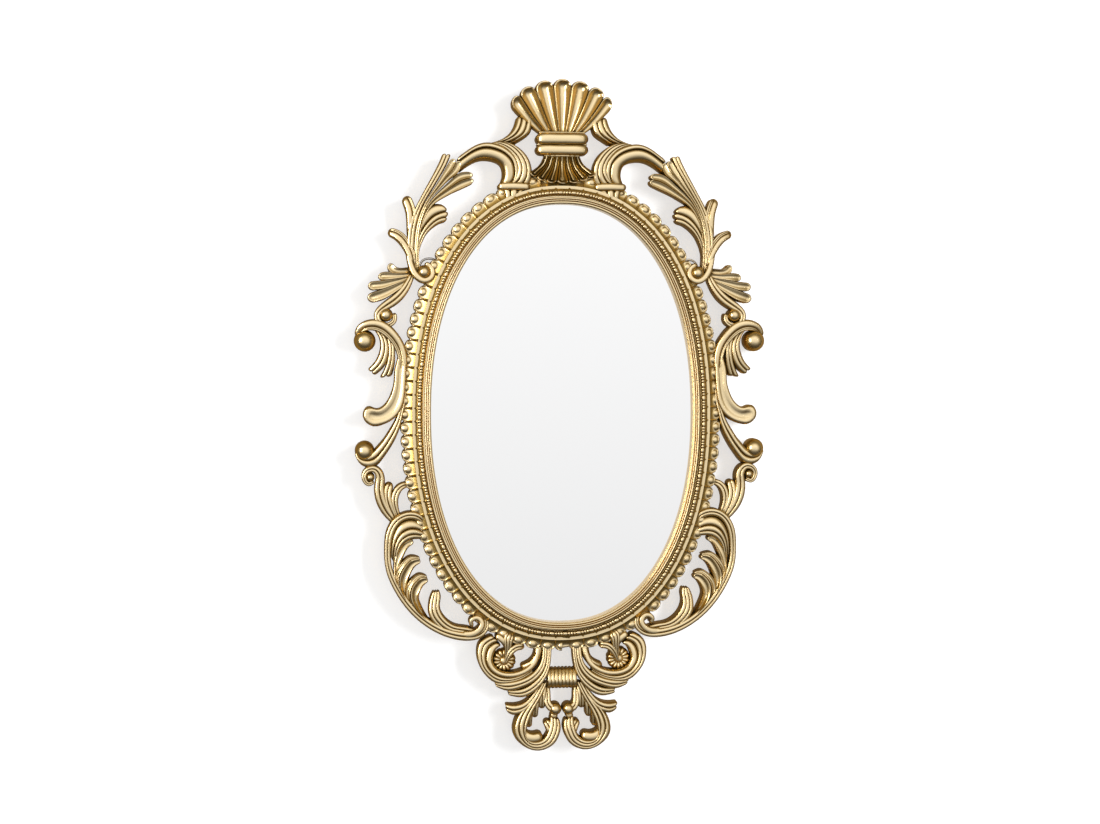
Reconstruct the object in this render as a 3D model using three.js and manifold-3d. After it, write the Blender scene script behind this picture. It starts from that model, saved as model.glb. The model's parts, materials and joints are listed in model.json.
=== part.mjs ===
// Oval wall mirror in a pierced and gilded rococo frame.
//
// Millimetres, +Z up. The wall is towards +Y and the viewer towards -Y, so a height h above the rear face of
// the backing board is the coordinate y = -h. The origin is the middle of that rear face, on the frame's
// line of symmetry and level with the widest part of the glass.
//
// The carving is drawn as strokes and leaves. A stroke is a line through a few points [x, z, width, height]:
// where the line goes on the wall, how wide the carving is there and how high it stands. A leaf lies between
// two such lines of points [x, z], with a few heights from its root to its tip.

import * as THREE from "three";
import { mergeVertices } from "three/addons/utils/BufferGeometryUtils.js";
import Module from "manifold-3d";

const wasm = await Module();
wasm.setup();

// ---------------------------------------------------------------- driving dimensions

// The sight line: the oval on which the frame rail meets the slip round the glass.
const OVAL_HALF_WIDTH = 155.8;
const OVAL_HALF_HEIGHT = 242.4;
const OVAL_SQUARENESS = 2.19; // 2 is a true ellipse, and more is squarer
const OVAL_STEPS = 52;

const CLEARANCE = 0.3; // left between any two pieces that seat on each other

const BOARD_THICKNESS = 4;
const BOARD_MARGIN = 20; // how far the board reaches outside the sight line
const PACKING_THICKNESS = 13;
const PACKING_MARGIN = 8;
const GLASS_THICKNESS = 4;
const GLASS_MARGIN = 9;

const SLIP_WIDTH = 7.8; // the part of the slip that shows inside the sight line
const SLIP_HEIGHT = 10.6; // from its back to the top of its main bead
const SLIP_FLANGE_THICKNESS = 2.4;
const SLIP_GAP = 0.7; // half the dark line between slip and rail

const REBATE_WIDTH = 12; // outwards from the sight line
const RAIL_HEIGHT = 25.6; // from the rail's back to its inner lip
const ASTRAGAL_RADIUS = 2.7;

const EGG_COUNT = 88;
const EGG_TIP = 25.4; // how far an egg's tip stands outside the sight line
const EGG_NOTCH = 21; // how far the notch between two eggs does
const EGG_FALL = 9.5; // from the cove beside the beads down to the crest of the tips
const EGG_TIP_THICKNESS = 3; // how far a tip rolls over before its wall goes straight back
const DART_DEPTH = 3.6; // of the notch between two eggs, below their crest

const CREST_ROUNDING = 0.78; // rise of a stroke's rounded top, as a share of its half width
const SPOON_DEPTH = 0.42; // hollow of a shell lobe, as a share of its half width
const TIP_FALL = 0.5; // how far a tip falls, as a share of its half width
const TIP_BREAK = 0.35; // where a round end has its extra section, as a share of it from the tip
const TIP_BLUNTNESS = 0.3; // width left at the very tip, as a share of the full one
const LONGEST_TIP = 0.4; // of a leaf's or stroke's length
const NEAR_TIP = 0.95; // share of the way along at which a leaf's end is measured across
const LEAST_HALF_WIDTH = 0.6;
const STROKE_STEP = 23; // longest distance between two sections of a stroke

// Fastenings on the back.
const SCREW_SHANK_RADIUS = 1.4;
const SCREW_HEAD_RADIUS = 3.1;
const SCREW_HEAD_HEIGHT = 1.7;
const SCREW_BITE = 8; // length of thread in the rail
const SCREW_LINE = 15.5; // where the screws stand, outwards from the sight line
const BOARD_SCREW_COUNT = 8;

const STRAP_WIDTH = 11;
const STRAP_LENGTH = 31; // below the hinge line
const STRAP_THICKNESS = 1.2;
const STRAP_SCREW_PITCH = 13;
const STRAP_SCREW_DROP = 9.5; // from the hinge line down to the upper screw
const RING_WIRE_RADIUS = 1.25;
const RING_WIDTH = 22; // between the wire's centre lines
const RING_HEIGHT = 15;
const HINGE_CLEARANCE = 0.35; // round the wire, in the strap's rolled eye
const HANGER_Z = 160; // height of the hinge line

const BUMPER_RADIUS = 6;
const BUMPER_THICKNESS = 4.6; // holds the frame off the wall by as much as the hangers do
const BUMPER_Z = -205;

// The carving was drawn round a rail of this half width and half height to its outer edge, and of this height
// from its back. The drawing is stretched to the rail above.
const DRAWN_RAIL = { width: 181.2, height: 267.8, back: 4.3, rise: 25.6 };

// ---------------------------------------------------------------- heights, from the board's rear face

const CASTING_BACK = BOARD_THICKNESS + CLEARANCE;
const PACKING_BACK = CASTING_BACK;
const GLASS_BACK = PACKING_BACK + PACKING_THICKNESS + CLEARANCE;
const SLIP_BACK = GLASS_BACK + GLASS_THICKNESS + CLEARANCE;
const LIP_BACK = SLIP_BACK + SLIP_FLANGE_THICKNESS + CLEARANCE;
const RAIL_CREST = CASTING_BACK + RAIL_HEIGHT;
const SLIP_CREST = SLIP_BACK + SLIP_HEIGHT;

// ---------------------------------------------------------------- finishes

const gilding = new THREE.MeshStandardMaterial({ color: 0xc29a52, roughness: 0.34, metalness: 0.9 });
const slipGilding = new THREE.MeshStandardMaterial({ color: 0xd2ad6a, roughness: 0.26, metalness: 0.9 });
const silvering = new THREE.MeshStandardMaterial({ color: 0xe9ebec, roughness: 0.03, metalness: 1 });
const hardboard = new THREE.MeshStandardMaterial({ color: 0x7b5a3c, roughness: 0.85, metalness: 0 });
const card = new THREE.MeshStandardMaterial({ color: 0xb08a5c, roughness: 0.95, metalness: 0 });
const zinc = new THREE.MeshStandardMaterial({ color: 0xb9bcc0, roughness: 0.38, metalness: 1 });
const rubber = new THREE.MeshStandardMaterial({ color: 0x2b2a29, roughness: 0.9, metalness: 0 });

// ---------------------------------------------------------------- solids

// A closed solid from vertices and triangles, turned to face outwards whichever way it was wound.
function solidOf(vertices, triangles) {
  const make = (faces) =>
    new wasm.Manifold(
      new wasm.Mesh({
        numProp: 3,
        vertProperties: new Float32Array(vertices.flat()),
        triVerts: new Uint32Array(faces.flat()),
      }),
    );
  const solid = make(triangles);
  return solid.volume() > 0 ? solid : make(triangles.map(([a, b, c]) => [a, c, b]));
}

// The skin over a row of rings that all have as many points. A closed row joins its last ring to its first.
function skinRings(rings, closed) {
  const size = rings[0].length;
  const triangles = [];
  const spans = closed ? rings.length : rings.length - 1;
  for (let i = 0; i < spans; i++) {
    const here = i * size;
    const next = ((i + 1) % rings.length) * size;
    for (let j = 0; j < size; j++) {
      const k = (j + 1) % size;
      triangles.push([here + j, here + k, next + k], [here + j, next + k, next + j]);
    }
  }
  if (!closed) {
    const last = (rings.length - 1) * size;
    for (let j = 1; j < size - 1; j++) {
      triangles.push([0, j + 1, j], [last, last + j, last + j + 1]);
    }
  }
  return solidOf(rings.flat(), triangles);
}

// A three.js geometry, which need not be merged, as a solid.
function solidOfGeometry(geometry) {
  const bare = geometry.index ? geometry.toNonIndexed() : geometry.clone();
  bare.deleteAttribute("normal");
  bare.deleteAttribute("uv");
  const merged = mergeVertices(bare, 1e-4);
  const at = merged.getAttribute("position");
  const corners = Array.from({ length: at.count }, (_, i) => [at.getX(i), at.getY(i), at.getZ(i)]);
  const index = Array.from(merged.index.array);
  const faces = Array.from({ length: index.length / 3 }, (_, i) => index.slice(3 * i, 3 * i + 3));
  return solidOf(
    corners,
    faces.filter(([a, b, c]) => a !== b && b !== c && c !== a),
  );
}

const unite = (solids) => wasm.Manifold.union(solids);

// The largest body of a solid, without the loose chips that a cut can leave.
function mainBody(solid) {
  const bodies = solid.decompose();
  return bodies.reduce((best, body) => (body.volume() > best.volume() ? body : best));
}

// A named three.js mesh of a solid.
function meshOf(name, solid, material) {
  const { vertProperties, triVerts, numProp } = mainBody(solid).getMesh();
  const positions = new Float32Array((vertProperties.length / numProp) * 3);
  for (let i = 0; i < positions.length / 3; i++) {
    positions.set(vertProperties.subarray(i * numProp, i * numProp + 3), i * 3);
  }
  const geometry = new THREE.BufferGeometry();
  geometry.setAttribute("position", new THREE.BufferAttribute(positions, 3));
  geometry.setIndex(new THREE.BufferAttribute(new Uint32Array(triVerts), 1));
  geometry.computeVertexNormals();
  const mesh = new THREE.Mesh(geometry, material);
  mesh.name = name;
  return mesh;
}

const mirrored = (solid) => solid.mirror([1, 0, 0]);

// ---------------------------------------------------------------- the oval

// A point of the sight line and its outward direction, at a turn from 0 to 1 that starts at the bottom.
function ovalPoint(turn) {
  const angle = 2 * Math.PI * turn - Math.PI / 2;
  const power = 2 / OVAL_SQUARENESS;
  const bend = (v) => Math.sign(v) * Math.abs(v) ** power;
  const x = OVAL_HALF_WIDTH * bend(Math.cos(angle));
  const z = OVAL_HALF_HEIGHT * bend(Math.sin(angle));
  const steep = (v, half) => (Math.sign(v) * Math.abs(v / half) ** (OVAL_SQUARENESS - 1)) / half;
  const outward = new THREE.Vector2(steep(x, OVAL_HALF_WIDTH), steep(z, OVAL_HALF_HEIGHT)).normalize();
  return { x, z, outward };
}

// The oval's points at even distances along it, count of them, found on a fine polyline.
function evenOvalPoints(count) {
  const FINE = 1440;
  const fine = Array.from({ length: FINE + 1 }, (_, i) => ovalPoint(i / FINE));
  const reach = [0];
  for (let i = 1; i <= FINE; i++) {
    reach.push(reach[i - 1] + Math.hypot(fine[i].x - fine[i - 1].x, fine[i].z - fine[i - 1].z));
  }
  const points = [];
  let i = 0;
  for (let k = 0; k < count; k++) {
    const want = (reach[FINE] * k) / count;
    while (reach[i + 1] < want) i++;
    const share = (want - reach[i]) / (reach[i + 1] - reach[i]);
    points.push(ovalPoint((i + share) / FINE));
  }
  return points;
}

// A point at a distance outwards from the sight line and at a height above the board's rear face.
const outFrom = (place, distance, height) => [
  place.x + place.outward.x * distance,
  -height,
  place.z + place.outward.y * distance,
];

const ovalStations = evenOvalPoints(OVAL_STEPS);
const railStations = evenOvalPoints(2 * EGG_COUNT);

// A moulding carried round the oval: its profile is a closed row of [distance outwards, height].
function ovalMoulding(profile, stations = ovalStations) {
  return skinRings(
    stations.map((place) => profile.map(([distance, height]) => outFrom(place, distance, height))),
    true,
  );
}

// An oval plate that reaches a margin outside the sight line, between two heights.
function ovalPlate(margin, low, high) {
  return skinRings(
    [low, high].map((height) => ovalStations.map((place) => outFrom(place, margin, height))),
    false,
  );
}

// ---------------------------------------------------------------- strokes of carving

// Points, widths and heights of the carving are drawn ones until here, where they become real ones.
const stretchX = (OVAL_HALF_WIDTH + EGG_TIP) / DRAWN_RAIL.width;
const stretchZ = (OVAL_HALF_HEIGHT + EGG_TIP) / DRAWN_RAIL.height;
const patternX = (x) => x * stretchX;
const patternZ = (z) => z * stretchZ;
const stretched = ({ x, y }) => new THREE.Vector2(patternX(x), patternZ(y));
const patternSize = (size) => size * Math.sqrt(stretchX * stretchZ);
const patternHeight = (height) => CASTING_BACK + ((height - DRAWN_RAIL.back) * RAIL_HEIGHT) / DRAWN_RAIL.rise;

// The places across a stroke, from -1 to 1, where its top needs a point.
const ACROSS = [-1, 0, 1];

// How far a stroke's top lies below its crest at a place across it. A rib is round, and a spoon is hollow
// between its edges.
function dropAcross(section, across, halfWidth) {
  if (section === "spoon") return SPOON_DEPTH * halfWidth * (1 - across ** 2);
  return CREST_ROUNDING * halfWidth * (1 - Math.sqrt(1 - across ** 2));
}

// A curve through drawn points, on the wall.
const drawnLine = (points) => new THREE.SplineCurve(points.map(([x, z]) => new THREE.Vector2(x, z)));

// The shares of the way along a leaf or stroke at which it takes a section. Its end is round over the last
// part, which is the tip's share of the length.
function sectionShares(length, tip, least) {
  const spans = Math.max(least, Math.ceil(length / STROKE_STEP));
  const even = Array.from({ length: spans }, (_, i) => (i / spans) * (1 - tip));
  return [...even, 1 - tip, 1 - TIP_BREAK * tip, 1];
}

// How wide the round end is at a share of the way along, as a share of the full width.
function tipWidth(share, tip) {
  const past = Math.max(0, share - 1 + tip) / tip;
  return Math.sqrt(1 - past ** 2 * (1 - TIP_BLUNTNESS ** 2));
}

// A solid with an upright wall all round and a flat back, from sections that each have a middle, a half width
// as a vector, a crest height and a direction along the wall. With grow it is that much larger all over.
function carved(sections, section, grow) {
  const rings = sections.map((drawn, i) => {
    const middle = stretched(drawn.middle);
    const half = stretched(drawn.half);
    const halfWidth = Math.max(half.length(), LEAST_HALF_WIDTH);
    const sideways = half.setLength(halfWidth + grow);
    const push = i === 0 ? -grow : i === sections.length - 1 ? grow : 0;
    middle.addScaledVector(stretched(drawn.ahead).normalize(), push);
    const place = (across, height) => [
      middle.x + sideways.x * across,
      -height,
      middle.y + sideways.y * across,
    ];
    const crest = patternHeight(drawn.crest) + grow;
    return [
      place(-1, CASTING_BACK - grow),
      ...ACROSS.map((across) => place(across, crest - dropAcross(section, across, halfWidth))),
      place(1, CASTING_BACK - grow),
    ];
  });
  return skinRings(rings, false);
}

// A stroke: a line through points [x, z, width, height], as wide and high as they say, with a round end.
function stroke(points, section = "rib") {
  const line = drawnLine(points);
  const size = new THREE.SplineCurve(
    points.map(([, , width, height]) => new THREE.Vector2(width / 2, height)),
  );
  const length = line.getLength();
  const tip = Math.min(LONGEST_TIP, points.at(-1)[2] / 2 / length);
  const sections = sectionShares(length, tip, points.length - 1).map((share) => {
    const at = size.getPoint(share);
    const ahead = line.getTangent(share);
    const half = new THREE.Vector2(-ahead.y, ahead.x).multiplyScalar(at.x * tipWidth(share, tip));
    const crest = at.y - TIP_FALL * at.x * (1 - tipWidth(share, tip));
    return { middle: line.getPoint(share), half, crest, ahead };
  });
  return (grow) => carved(sections, section, grow);
}

// A leaf between two drawn edges that start at its root, with crest heights at even steps and a round end.
function leaf(left, right, heights, section = "rib") {
  const edges = [left, right].map(drawnLine);
  const crests = new THREE.SplineCurve(heights.map((height, i) => new THREE.Vector2(i, height)));
  const length = Math.max(...edges.map((edge) => edge.getLength()));
  const ends = edges.map((edge) => edge.getPointAt(NEAR_TIP));
  const tip = Math.min(LONGEST_TIP, ends[0].distanceTo(ends[1]) / 2 / length);
  const sections = sectionShares(length, tip, 3).map((share) => {
    const [one, two] = edges.map((edge) => edge.getPointAt(share));
    const width = tipWidth(share, tip);
    const half = two.clone().sub(one).multiplyScalar(width / 2);
    const ahead = edges[0].getTangentAt(share).add(edges[1].getTangentAt(share)).normalize();
    const crest = crests.getPoint(share).y - (TIP_FALL * half.length() * (1 - width)) / width;
    return { middle: one.clone().lerp(two, 0.5), half, crest, ahead };
  });
  return (grow) => carved(sections, section, grow);
}

// A round boss: a low dome on an upright wall.
function boss(x, z, drawnRadius, drawnHeight, sides = 12) {
  const radius = patternSize(drawnRadius);
  const height = patternHeight(drawnHeight);
  return (grow) => {
    const r = radius + grow;
    const top = height - CASTING_BACK + grow;
    const dome = Math.min(radius, height - CASTING_BACK - 2);
    const arc = [90, 45, 0].map((degrees) => {
      const angle = THREE.MathUtils.degToRad(degrees);
      return new THREE.Vector2(r * Math.cos(angle), top - dome * (1 - Math.sin(angle)));
    });
    const profile = [new THREE.Vector2(0, -grow), new THREE.Vector2(r, -grow), ...arc.reverse()];
    profile.at(-1).x = 0;
    // The lathe turns about +Y, which is laid on -Y, away from the wall.
    const geometry = new THREE.LatheGeometry(profile, sides);
    geometry.rotateX(Math.PI);
    geometry.translate(patternX(x), -CASTING_BACK, patternZ(z));
    return solidOfGeometry(geometry);
  };
}

// ---------------------------------------------------------------- the carved castings, right-hand side

// The crest is symmetric, so its strokes are given for the right and repeated on the left.
const bothSides = (strokes) => (grow) => {
  const right = strokes.map((one) => one(grow));
  return unite([...right, ...right.map(mirrored)]);
};
const oneSide = (strokes) => (grow) => unite(strokes.map((one) => one(grow)));

// Seven hollow lobes that fan out from the collar. Each lobe lies between two lines from the collar to the
// notches beside it, and stands past them by its round tip.
const SHELL_NOTCHES = [[-53.6, 339.8], [-45.8, 351.6], [-29.6, 358.8], [-10, 363.5]];
const SHELL_ROOT = { half: 20.5, z: 310 };
const SHELL_TIP = 10.2;
const SHELL_OVERLAP = 0.4;
const shellNotches = [...SHELL_NOTCHES, ...SHELL_NOTCHES.map(([x, z]) => [-x, z]).reverse()];
const shellLines = shellNotches.map(([x, z], i) => {
  const root = SHELL_ROOT.half * ((2 * i) / (shellNotches.length - 1) - 1);
  const reach = Math.hypot(x - root, z - SHELL_ROOT.z);
  const past = 1 + SHELL_TIP / reach;
  return [root, SHELL_ROOT.z, root + (x - root) * past, SHELL_ROOT.z + (z - SHELL_ROOT.z) * past];
});
const crestShell = oneSide(
  shellLines.slice(1).map(([root, low, x, z], i) => {
    const [root0, , x0, z0] = shellLines[i];
    const left = [[root0 - SHELL_OVERLAP, low], [x0 - SHELL_OVERLAP, z0]];
    const right = [[root + SHELL_OVERLAP, low], [x + SHELL_OVERLAP, z]];
    return leaf(left, right, [18, 21.5, 24, 24.5, 21.5], "spoon");
  }),
);

// Two pillowed bands that tie the shell to the skirt below it.
const crestCollar = bothSides([
  stroke([[-1, 306.8, 12.8, 25.6], [14, 306.8, 12.8, 25.4], [29.6, 306.8, 11.5, 22.5]]),
  stroke([[-1, 294.8, 11.6, 24.6], [14, 294.8, 11.6, 24.4], [29.6, 294.8, 10.5, 21.5]]),
]);

// Narrow flutes that spread from the collar down over the rail and end in seven scallops. The fan is one
// skin whose rows run across it, each from the left edge to the right one.
const SKIRT_HALF = [[12.3, 258.5], [22.5, 261.5], [31, 266]];
const SKIRT_SCALLOPS = [...SKIRT_HALF.map(([x, z]) => [-x, z]).reverse(), [0, 257.5], ...SKIRT_HALF];
const SKIRT_ROWS = [
  [0, 0.56, 20],
  [0.45, 0.74, 19],
  [0.85, 0.96, 22],
  [1, 1, 19],
]; // each row's share of the way down, share of the full width, and height
const SKIRT_TOP = 291;
const SKIRT_FLUTE_DEPTH = 2;
const SKIRT_NOTCH = 3.4; // how far the notch between two scallops goes back up
const SKIRT_CORNER = 4.6; // how far the fan's corner stands outside and above the last scallop
function crestSkirt(grow) {
  const ribs = SKIRT_SCALLOPS.flatMap(([x, z], i) => {
    const next = SKIRT_SCALLOPS[i + 1];
    const notch = next ? [[(x + next[0]) / 2, (z + next[1]) / 2 + SKIRT_NOTCH, 1]] : [];
    return [[x, z, 0], ...notch];
  });
  const [endX, endZ] = SKIRT_HALF.at(-1);
  const corner = [endX + SKIRT_CORNER, endZ + SKIRT_CORNER, 1];
  const outline = [[-corner[0], corner[1], 1], ...ribs, corner];
  const rows = SKIRT_ROWS.map(([down, spread, height], row) => {
    const last = outline.length - 1;
    const place = ([x, z, crest], i, level) => {
      const side = i === 0 ? -grow : i === last ? grow : 0;
      const foot = row === SKIRT_ROWS.length - 1 ? grow : row === 0 ? -grow : 0;
      const lift = (crest - 1) * SKIRT_FLUTE_DEPTH * Math.min(1, 0.4 + down);
      const up = level ?? patternHeight(height) + lift + grow;
      return [patternX(x * spread) + side, -up, patternZ(SKIRT_TOP + (z - SKIRT_TOP) * down) - foot];
    };
    const back = CASTING_BACK - grow;
    return [
      place(outline[0], 0, back),
      ...outline.map((one, i) => place(one, i)),
      place(outline[last], last, back),
    ];
  });
  return skinRings(rows, false);
}

// A horn of nested crescents that stands on the rail, throws a stem outwards and a small leaf up to the
// shell.
const crestScroll = oneSide([
  stroke(
    [[37, 250.5, 7, 21.5], [54, 252.5, 8, 23], [71, 254.5, 6, 21.5]],
  ),
  leaf(
    [[46, 236], [43, 243], [37.5, 249]],
    [[66, 238], [67, 245], [70, 252]],
    [21, 20, 21],
  ),
  leaf(
    [[37, 254], [34.2, 262], [34, 270], [35.5, 278.5], [40, 287.8], [47.5, 295.5], [57, 301],
      [66, 303]],
    [[48, 256], [42.5, 264], [42, 272], [44, 281], [49, 289], [56, 296], [64, 300], [72, 302]],
    [20, 22, 22, 21, 19],
  ),
  leaf(
    [[46, 255.5], [41.5, 264], [41, 272], [43, 281], [48, 289.5], [55, 296.5], [63, 301],
      [72, 303]],
    [[60, 257], [51.5, 263], [49.5, 272], [51.5, 281], [56.5, 288.5], [63, 294], [71, 298],
      [80, 301]],
    [20.5, 23, 23.5, 22, 19.5],
  ),
  leaf(
    [[54, 256.5], [49, 264], [48.5, 272], [50.5, 281], [55.5, 289], [63, 295.5], [73, 300],
      [85, 301.8], [99, 297.5], [108, 291.5], [116, 285]],
    [[69.5, 257], [67, 264], [66.8, 270], [69, 276.5], [74, 280.2], [82.5, 282.3], [91, 282.2],
      [100, 279], [108, 274], [114, 268.5]],
    [20.5, 24, 25, 24.8, 24.3, 23, 21], "spoon",
  ),
  leaf(
    [[52, 301], [42.5, 307], [36, 312.6], [33.5, 320], [32.5, 331]],
    [[84, 301.5], [70.6, 304.9], [61, 310.6], [54.4, 319.4], [50.8, 331.5]],
    [18, 20, 21.5, 21, 18.5],
  ),
]);

// A tall acanthus spray with three lobes at its head, a half palmette on its inner side and two curling
// leaves on its outer side. The lower leaf winds round the boss that seats on the rail.
const upperSpray = oneSide([
  boss(154.2, 158.6, 6.6, 26),
  leaf(
    [[159, 160], [160, 182], [158.5, 200], [155, 214], [149, 226], [141.2, 234.8],
      [132.8, 240.2], [122.3, 245.9], [110.6, 251.2], [98.5, 257]],
    [[161.5, 160], [162, 182], [160.5, 200], [157, 216], [151, 231], [142, 243], [133, 252],
      [124, 260.5], [114.5, 268], [100, 269]],
    [18, 20.5, 21.5, 22.5, 22.5, 20.5], "spoon",
  ),
  leaf(
    [[161, 160], [161.8, 182], [160.3, 200], [157, 216], [151, 231], [142.5, 243.5],
      [133.5, 253], [124.5, 261.5], [115.8, 268.5], [111.5, 280]],
    [[164, 160], [165, 182], [164, 200], [160.5, 217], [155, 231], [148, 243], [141, 254],
      [134.5, 265], [129, 275], [123.6, 284.5]],
    [18.5, 21, 22.5, 23.5, 23.5, 21], "spoon",
  ),
  leaf(
    [[163.5, 160], [164.5, 182], [163.5, 200], [160, 217], [155, 231], [148, 243.5],
      [141, 255], [134.5, 266], [128.5, 277], [123.8, 288.5]],
    [[171.5, 160], [172.5, 182], [172.5, 200], [168.5, 218], [162, 232.5], [155, 246],
      [147.8, 259], [141.2, 271.4], [135.4, 283.6], [133.2, 289.5]],
    [19, 21, 21.5, 21.5, 21.5, 19],
  ),
  leaf(
    [[158.5, 163], [159.2, 181], [156.4, 190], [150.8, 200.3], [143, 208], [135.4, 212.4],
      [128.6, 213.4]],
    [[160, 166], [160.8, 184], [157.5, 195], [151, 205.5], [143.5, 213], [136, 217.5],
      [129, 218.6]],
    [17, 19.5, 21, 21.5, 19],
  ),
  leaf(
    [[159.5, 170], [160, 188], [156.8, 199.5], [150.5, 209.5], [143, 216], [135.5, 219.8],
      [125.5, 221]],
    [[160.5, 172], [161, 192], [157.5, 204], [151, 214], [143.5, 221.5], [135.5, 225.6],
      [126.5, 227]],
    [17.5, 20, 21.5, 22, 19.5],
  ),
  leaf(
    [[160, 178], [160.6, 195], [157, 207.5], [150.5, 217.5], [143.5, 224], [137, 227.2],
      [130.5, 227.8]],
    [[161.5, 180], [161.8, 199], [158, 212.5], [152, 222.5], [145, 230], [138, 233.6],
      [130.5, 233.8]],
    [18, 20, 22, 22, 19.5],
  ),
  stroke(
    [[167, 182, 5, 18.5], [167.5, 205, 8, 20.5], [168, 225, 9.5, 21.5], [175, 242.4, 9, 18.5]],
  ),
  stroke(
    [[166, 165, 6, 20], [168.5, 177, 7.5, 21.5], [174.5, 190, 9, 21], [183.5, 199.8, 9, 20],
      [194.2, 203.8, 7, 17]],
  ),
  stroke(
    [[171.5, 182, 6, 20], [168.8, 167, 6.5, 22], [162.5, 154.2, 7, 23.5],
      [153.5, 149, 6.5, 24], [145.3, 154.5, 6, 23], [146.2, 163.5, 5.5, 21.5],
      [153, 167.8, 5, 20.5]],
  ),
]);

// A fan of four lobes whose stem rolls up round a boss.
const sidePalmette = oneSide([
  boss(196.3, 110.8, 6.4, 25.5),
  leaf(
    [[163, 160], [170, 163.5], [177, 163], [184, 163.6], [190, 169.5]],
    [[166, 156], [175, 156], [184, 156], [192, 158], [195.5, 165]],
    [15, 18, 20, 20, 17.5], "spoon",
  ),
  leaf(
    [[165, 158], [175, 157.5], [184, 157.5], [192, 158.6], [204.5, 157.2]],
    [[167, 154], [177, 152], [187, 150.3], [196, 149], [205, 149.5]],
    [16, 19, 21, 21, 18], "spoon",
  ),
  leaf(
    [[166, 156], [177, 152.6], [187, 150.8], [197, 149.4], [216, 147.6]],
    [[168, 152], [179, 147.2], [190, 142.6], [200, 139], [216, 138]],
    [16.5, 19.5, 21.5, 21.5, 18.5], "spoon",
  ),
  leaf(
    [[167, 154], [179, 147.8], [190, 143.2], [202, 139.2], [218, 133.5]],
    [[168.5, 150], [178, 141.5], [188, 134], [199, 127.5], [215, 123.6]],
    [17, 20, 22, 22, 18.5], "spoon",
  ),
  stroke(
    [[167, 155.5, 6, 18], [173.6, 142.5, 9, 20], [185, 129, 11.5, 21.5], [198, 119.8, 10, 22],
      [206, 111, 7, 23], [203, 102, 6.5, 23], [194.5, 99.4, 6, 22], [187.4, 104.5, 5.5, 21],
      [187.4, 113, 5, 19]],
  ),
]);

// The long side scroll: over the upper ball, down along the rail, out to a blunt hook and on to the lower
// ball.
const sideScroll = oneSide([
  boss(219.9, 82, 12.3, 26.5, 18),
  boss(220.5, -40, 10.9, 26, 18),
  stroke(
    [[230.3, 86, 4, 18], [227, 95, 7, 21], [216.5, 101.5, 9.5, 23.5], [202.5, 99.6, 11.5, 24],
      [189.5, 89.5, 11, 24], [180.8, 75, 10.5, 23], [177.5, 62, 10, 22.5], [178, 48, 9, 21]],
  ),
  leaf(
    [[183.5, 78], [184, 62], [187, 50], [188, 36], [190.6, 25.6], [195, 16], [200.6, 9.6],
      [207, 7], [215, 9.6], [224, 8.6]],
    [[176, 76], [174.6, 62], [174.2, 45], [175.5, 25], [179, 8], [185, -1.5], [192, -7],
      [199.5, -10.6], [208, -13], [219, -13.4]],
    [20, 22, 23, 23.5, 23.8, 24, 22], "spoon",
  ),
  leaf(
    [[177, 30], [179.5, 15], [183.5, 2], [188.5, -9], [194, -18], [200, -27], [206.5, -34.5],
      [213, -41], [219.5, -44.5], [225.5, -44.3], [228, -39]],
    [[174.3, 30], [175, 15], [177.5, 2], [180.8, -12.5], [186, -26], [193, -38.5], [201, -50],
      [208, -57.2], [217, -58.8], [226, -54], [233, -43]],
    [20, 21.5, 22.5, 23, 23, 22, 19],
  ),
  leaf(
    [[213.5, 98], [205.5, 88.5], [202.8, 77.5], [204.8, 67], [209.5, 58], [217, 50.5]],
    [[204, 96], [196, 86], [193, 75], [194, 64], [198, 54], [209, 43.5]],
    [20, 22, 22.5, 21.5, 19],
  ),
  leaf(
    [[206, 97], [197, 87], [194, 76], [194.5, 64], [198, 54], [206, 44.5]],
    [[198, 94], [189, 84], [186.5, 72], [186.5, 60], [187.5, 52], [190, 42.5]],
    [20, 21.5, 22, 20.5, 18],
  ),
]);

// A small volute with two fingers. The inner finger reaches the rail.
const sideVolute = oneSide([
  boss(214.3, -69.2, 4.8, 23, 10),
  stroke(
    [[186, -121, 7, 18], [196, -109, 10, 20], [202.8, -94, 12, 21.5], [204.2, -79, 11.5, 22],
      [204, -67.5, 10, 22.5], [209.5, -60.5, 8, 22.5], [217.8, -61.8, 6.5, 22],
      [221.3, -69.8, 5.5, 21.5], [216.3, -76.8, 5, 21], [210.6, -74.2, 4.5, 20.5]],
  ),
  stroke(
    [[186, -117, 6, 18], [192.5, -104, 9, 20], [195.5, -90, 10, 20.5], [192.5, -75.5, 9.5, 18.5]],
  ),
  stroke(
    [[182.5, -115, 5, 18], [187, -103, 7.5, 19.5], [187, -91, 8.5, 20], [181, -80.8, 8, 19],
      [171.5, -77.5, 6, 16.5]],
  ),
]);

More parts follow.
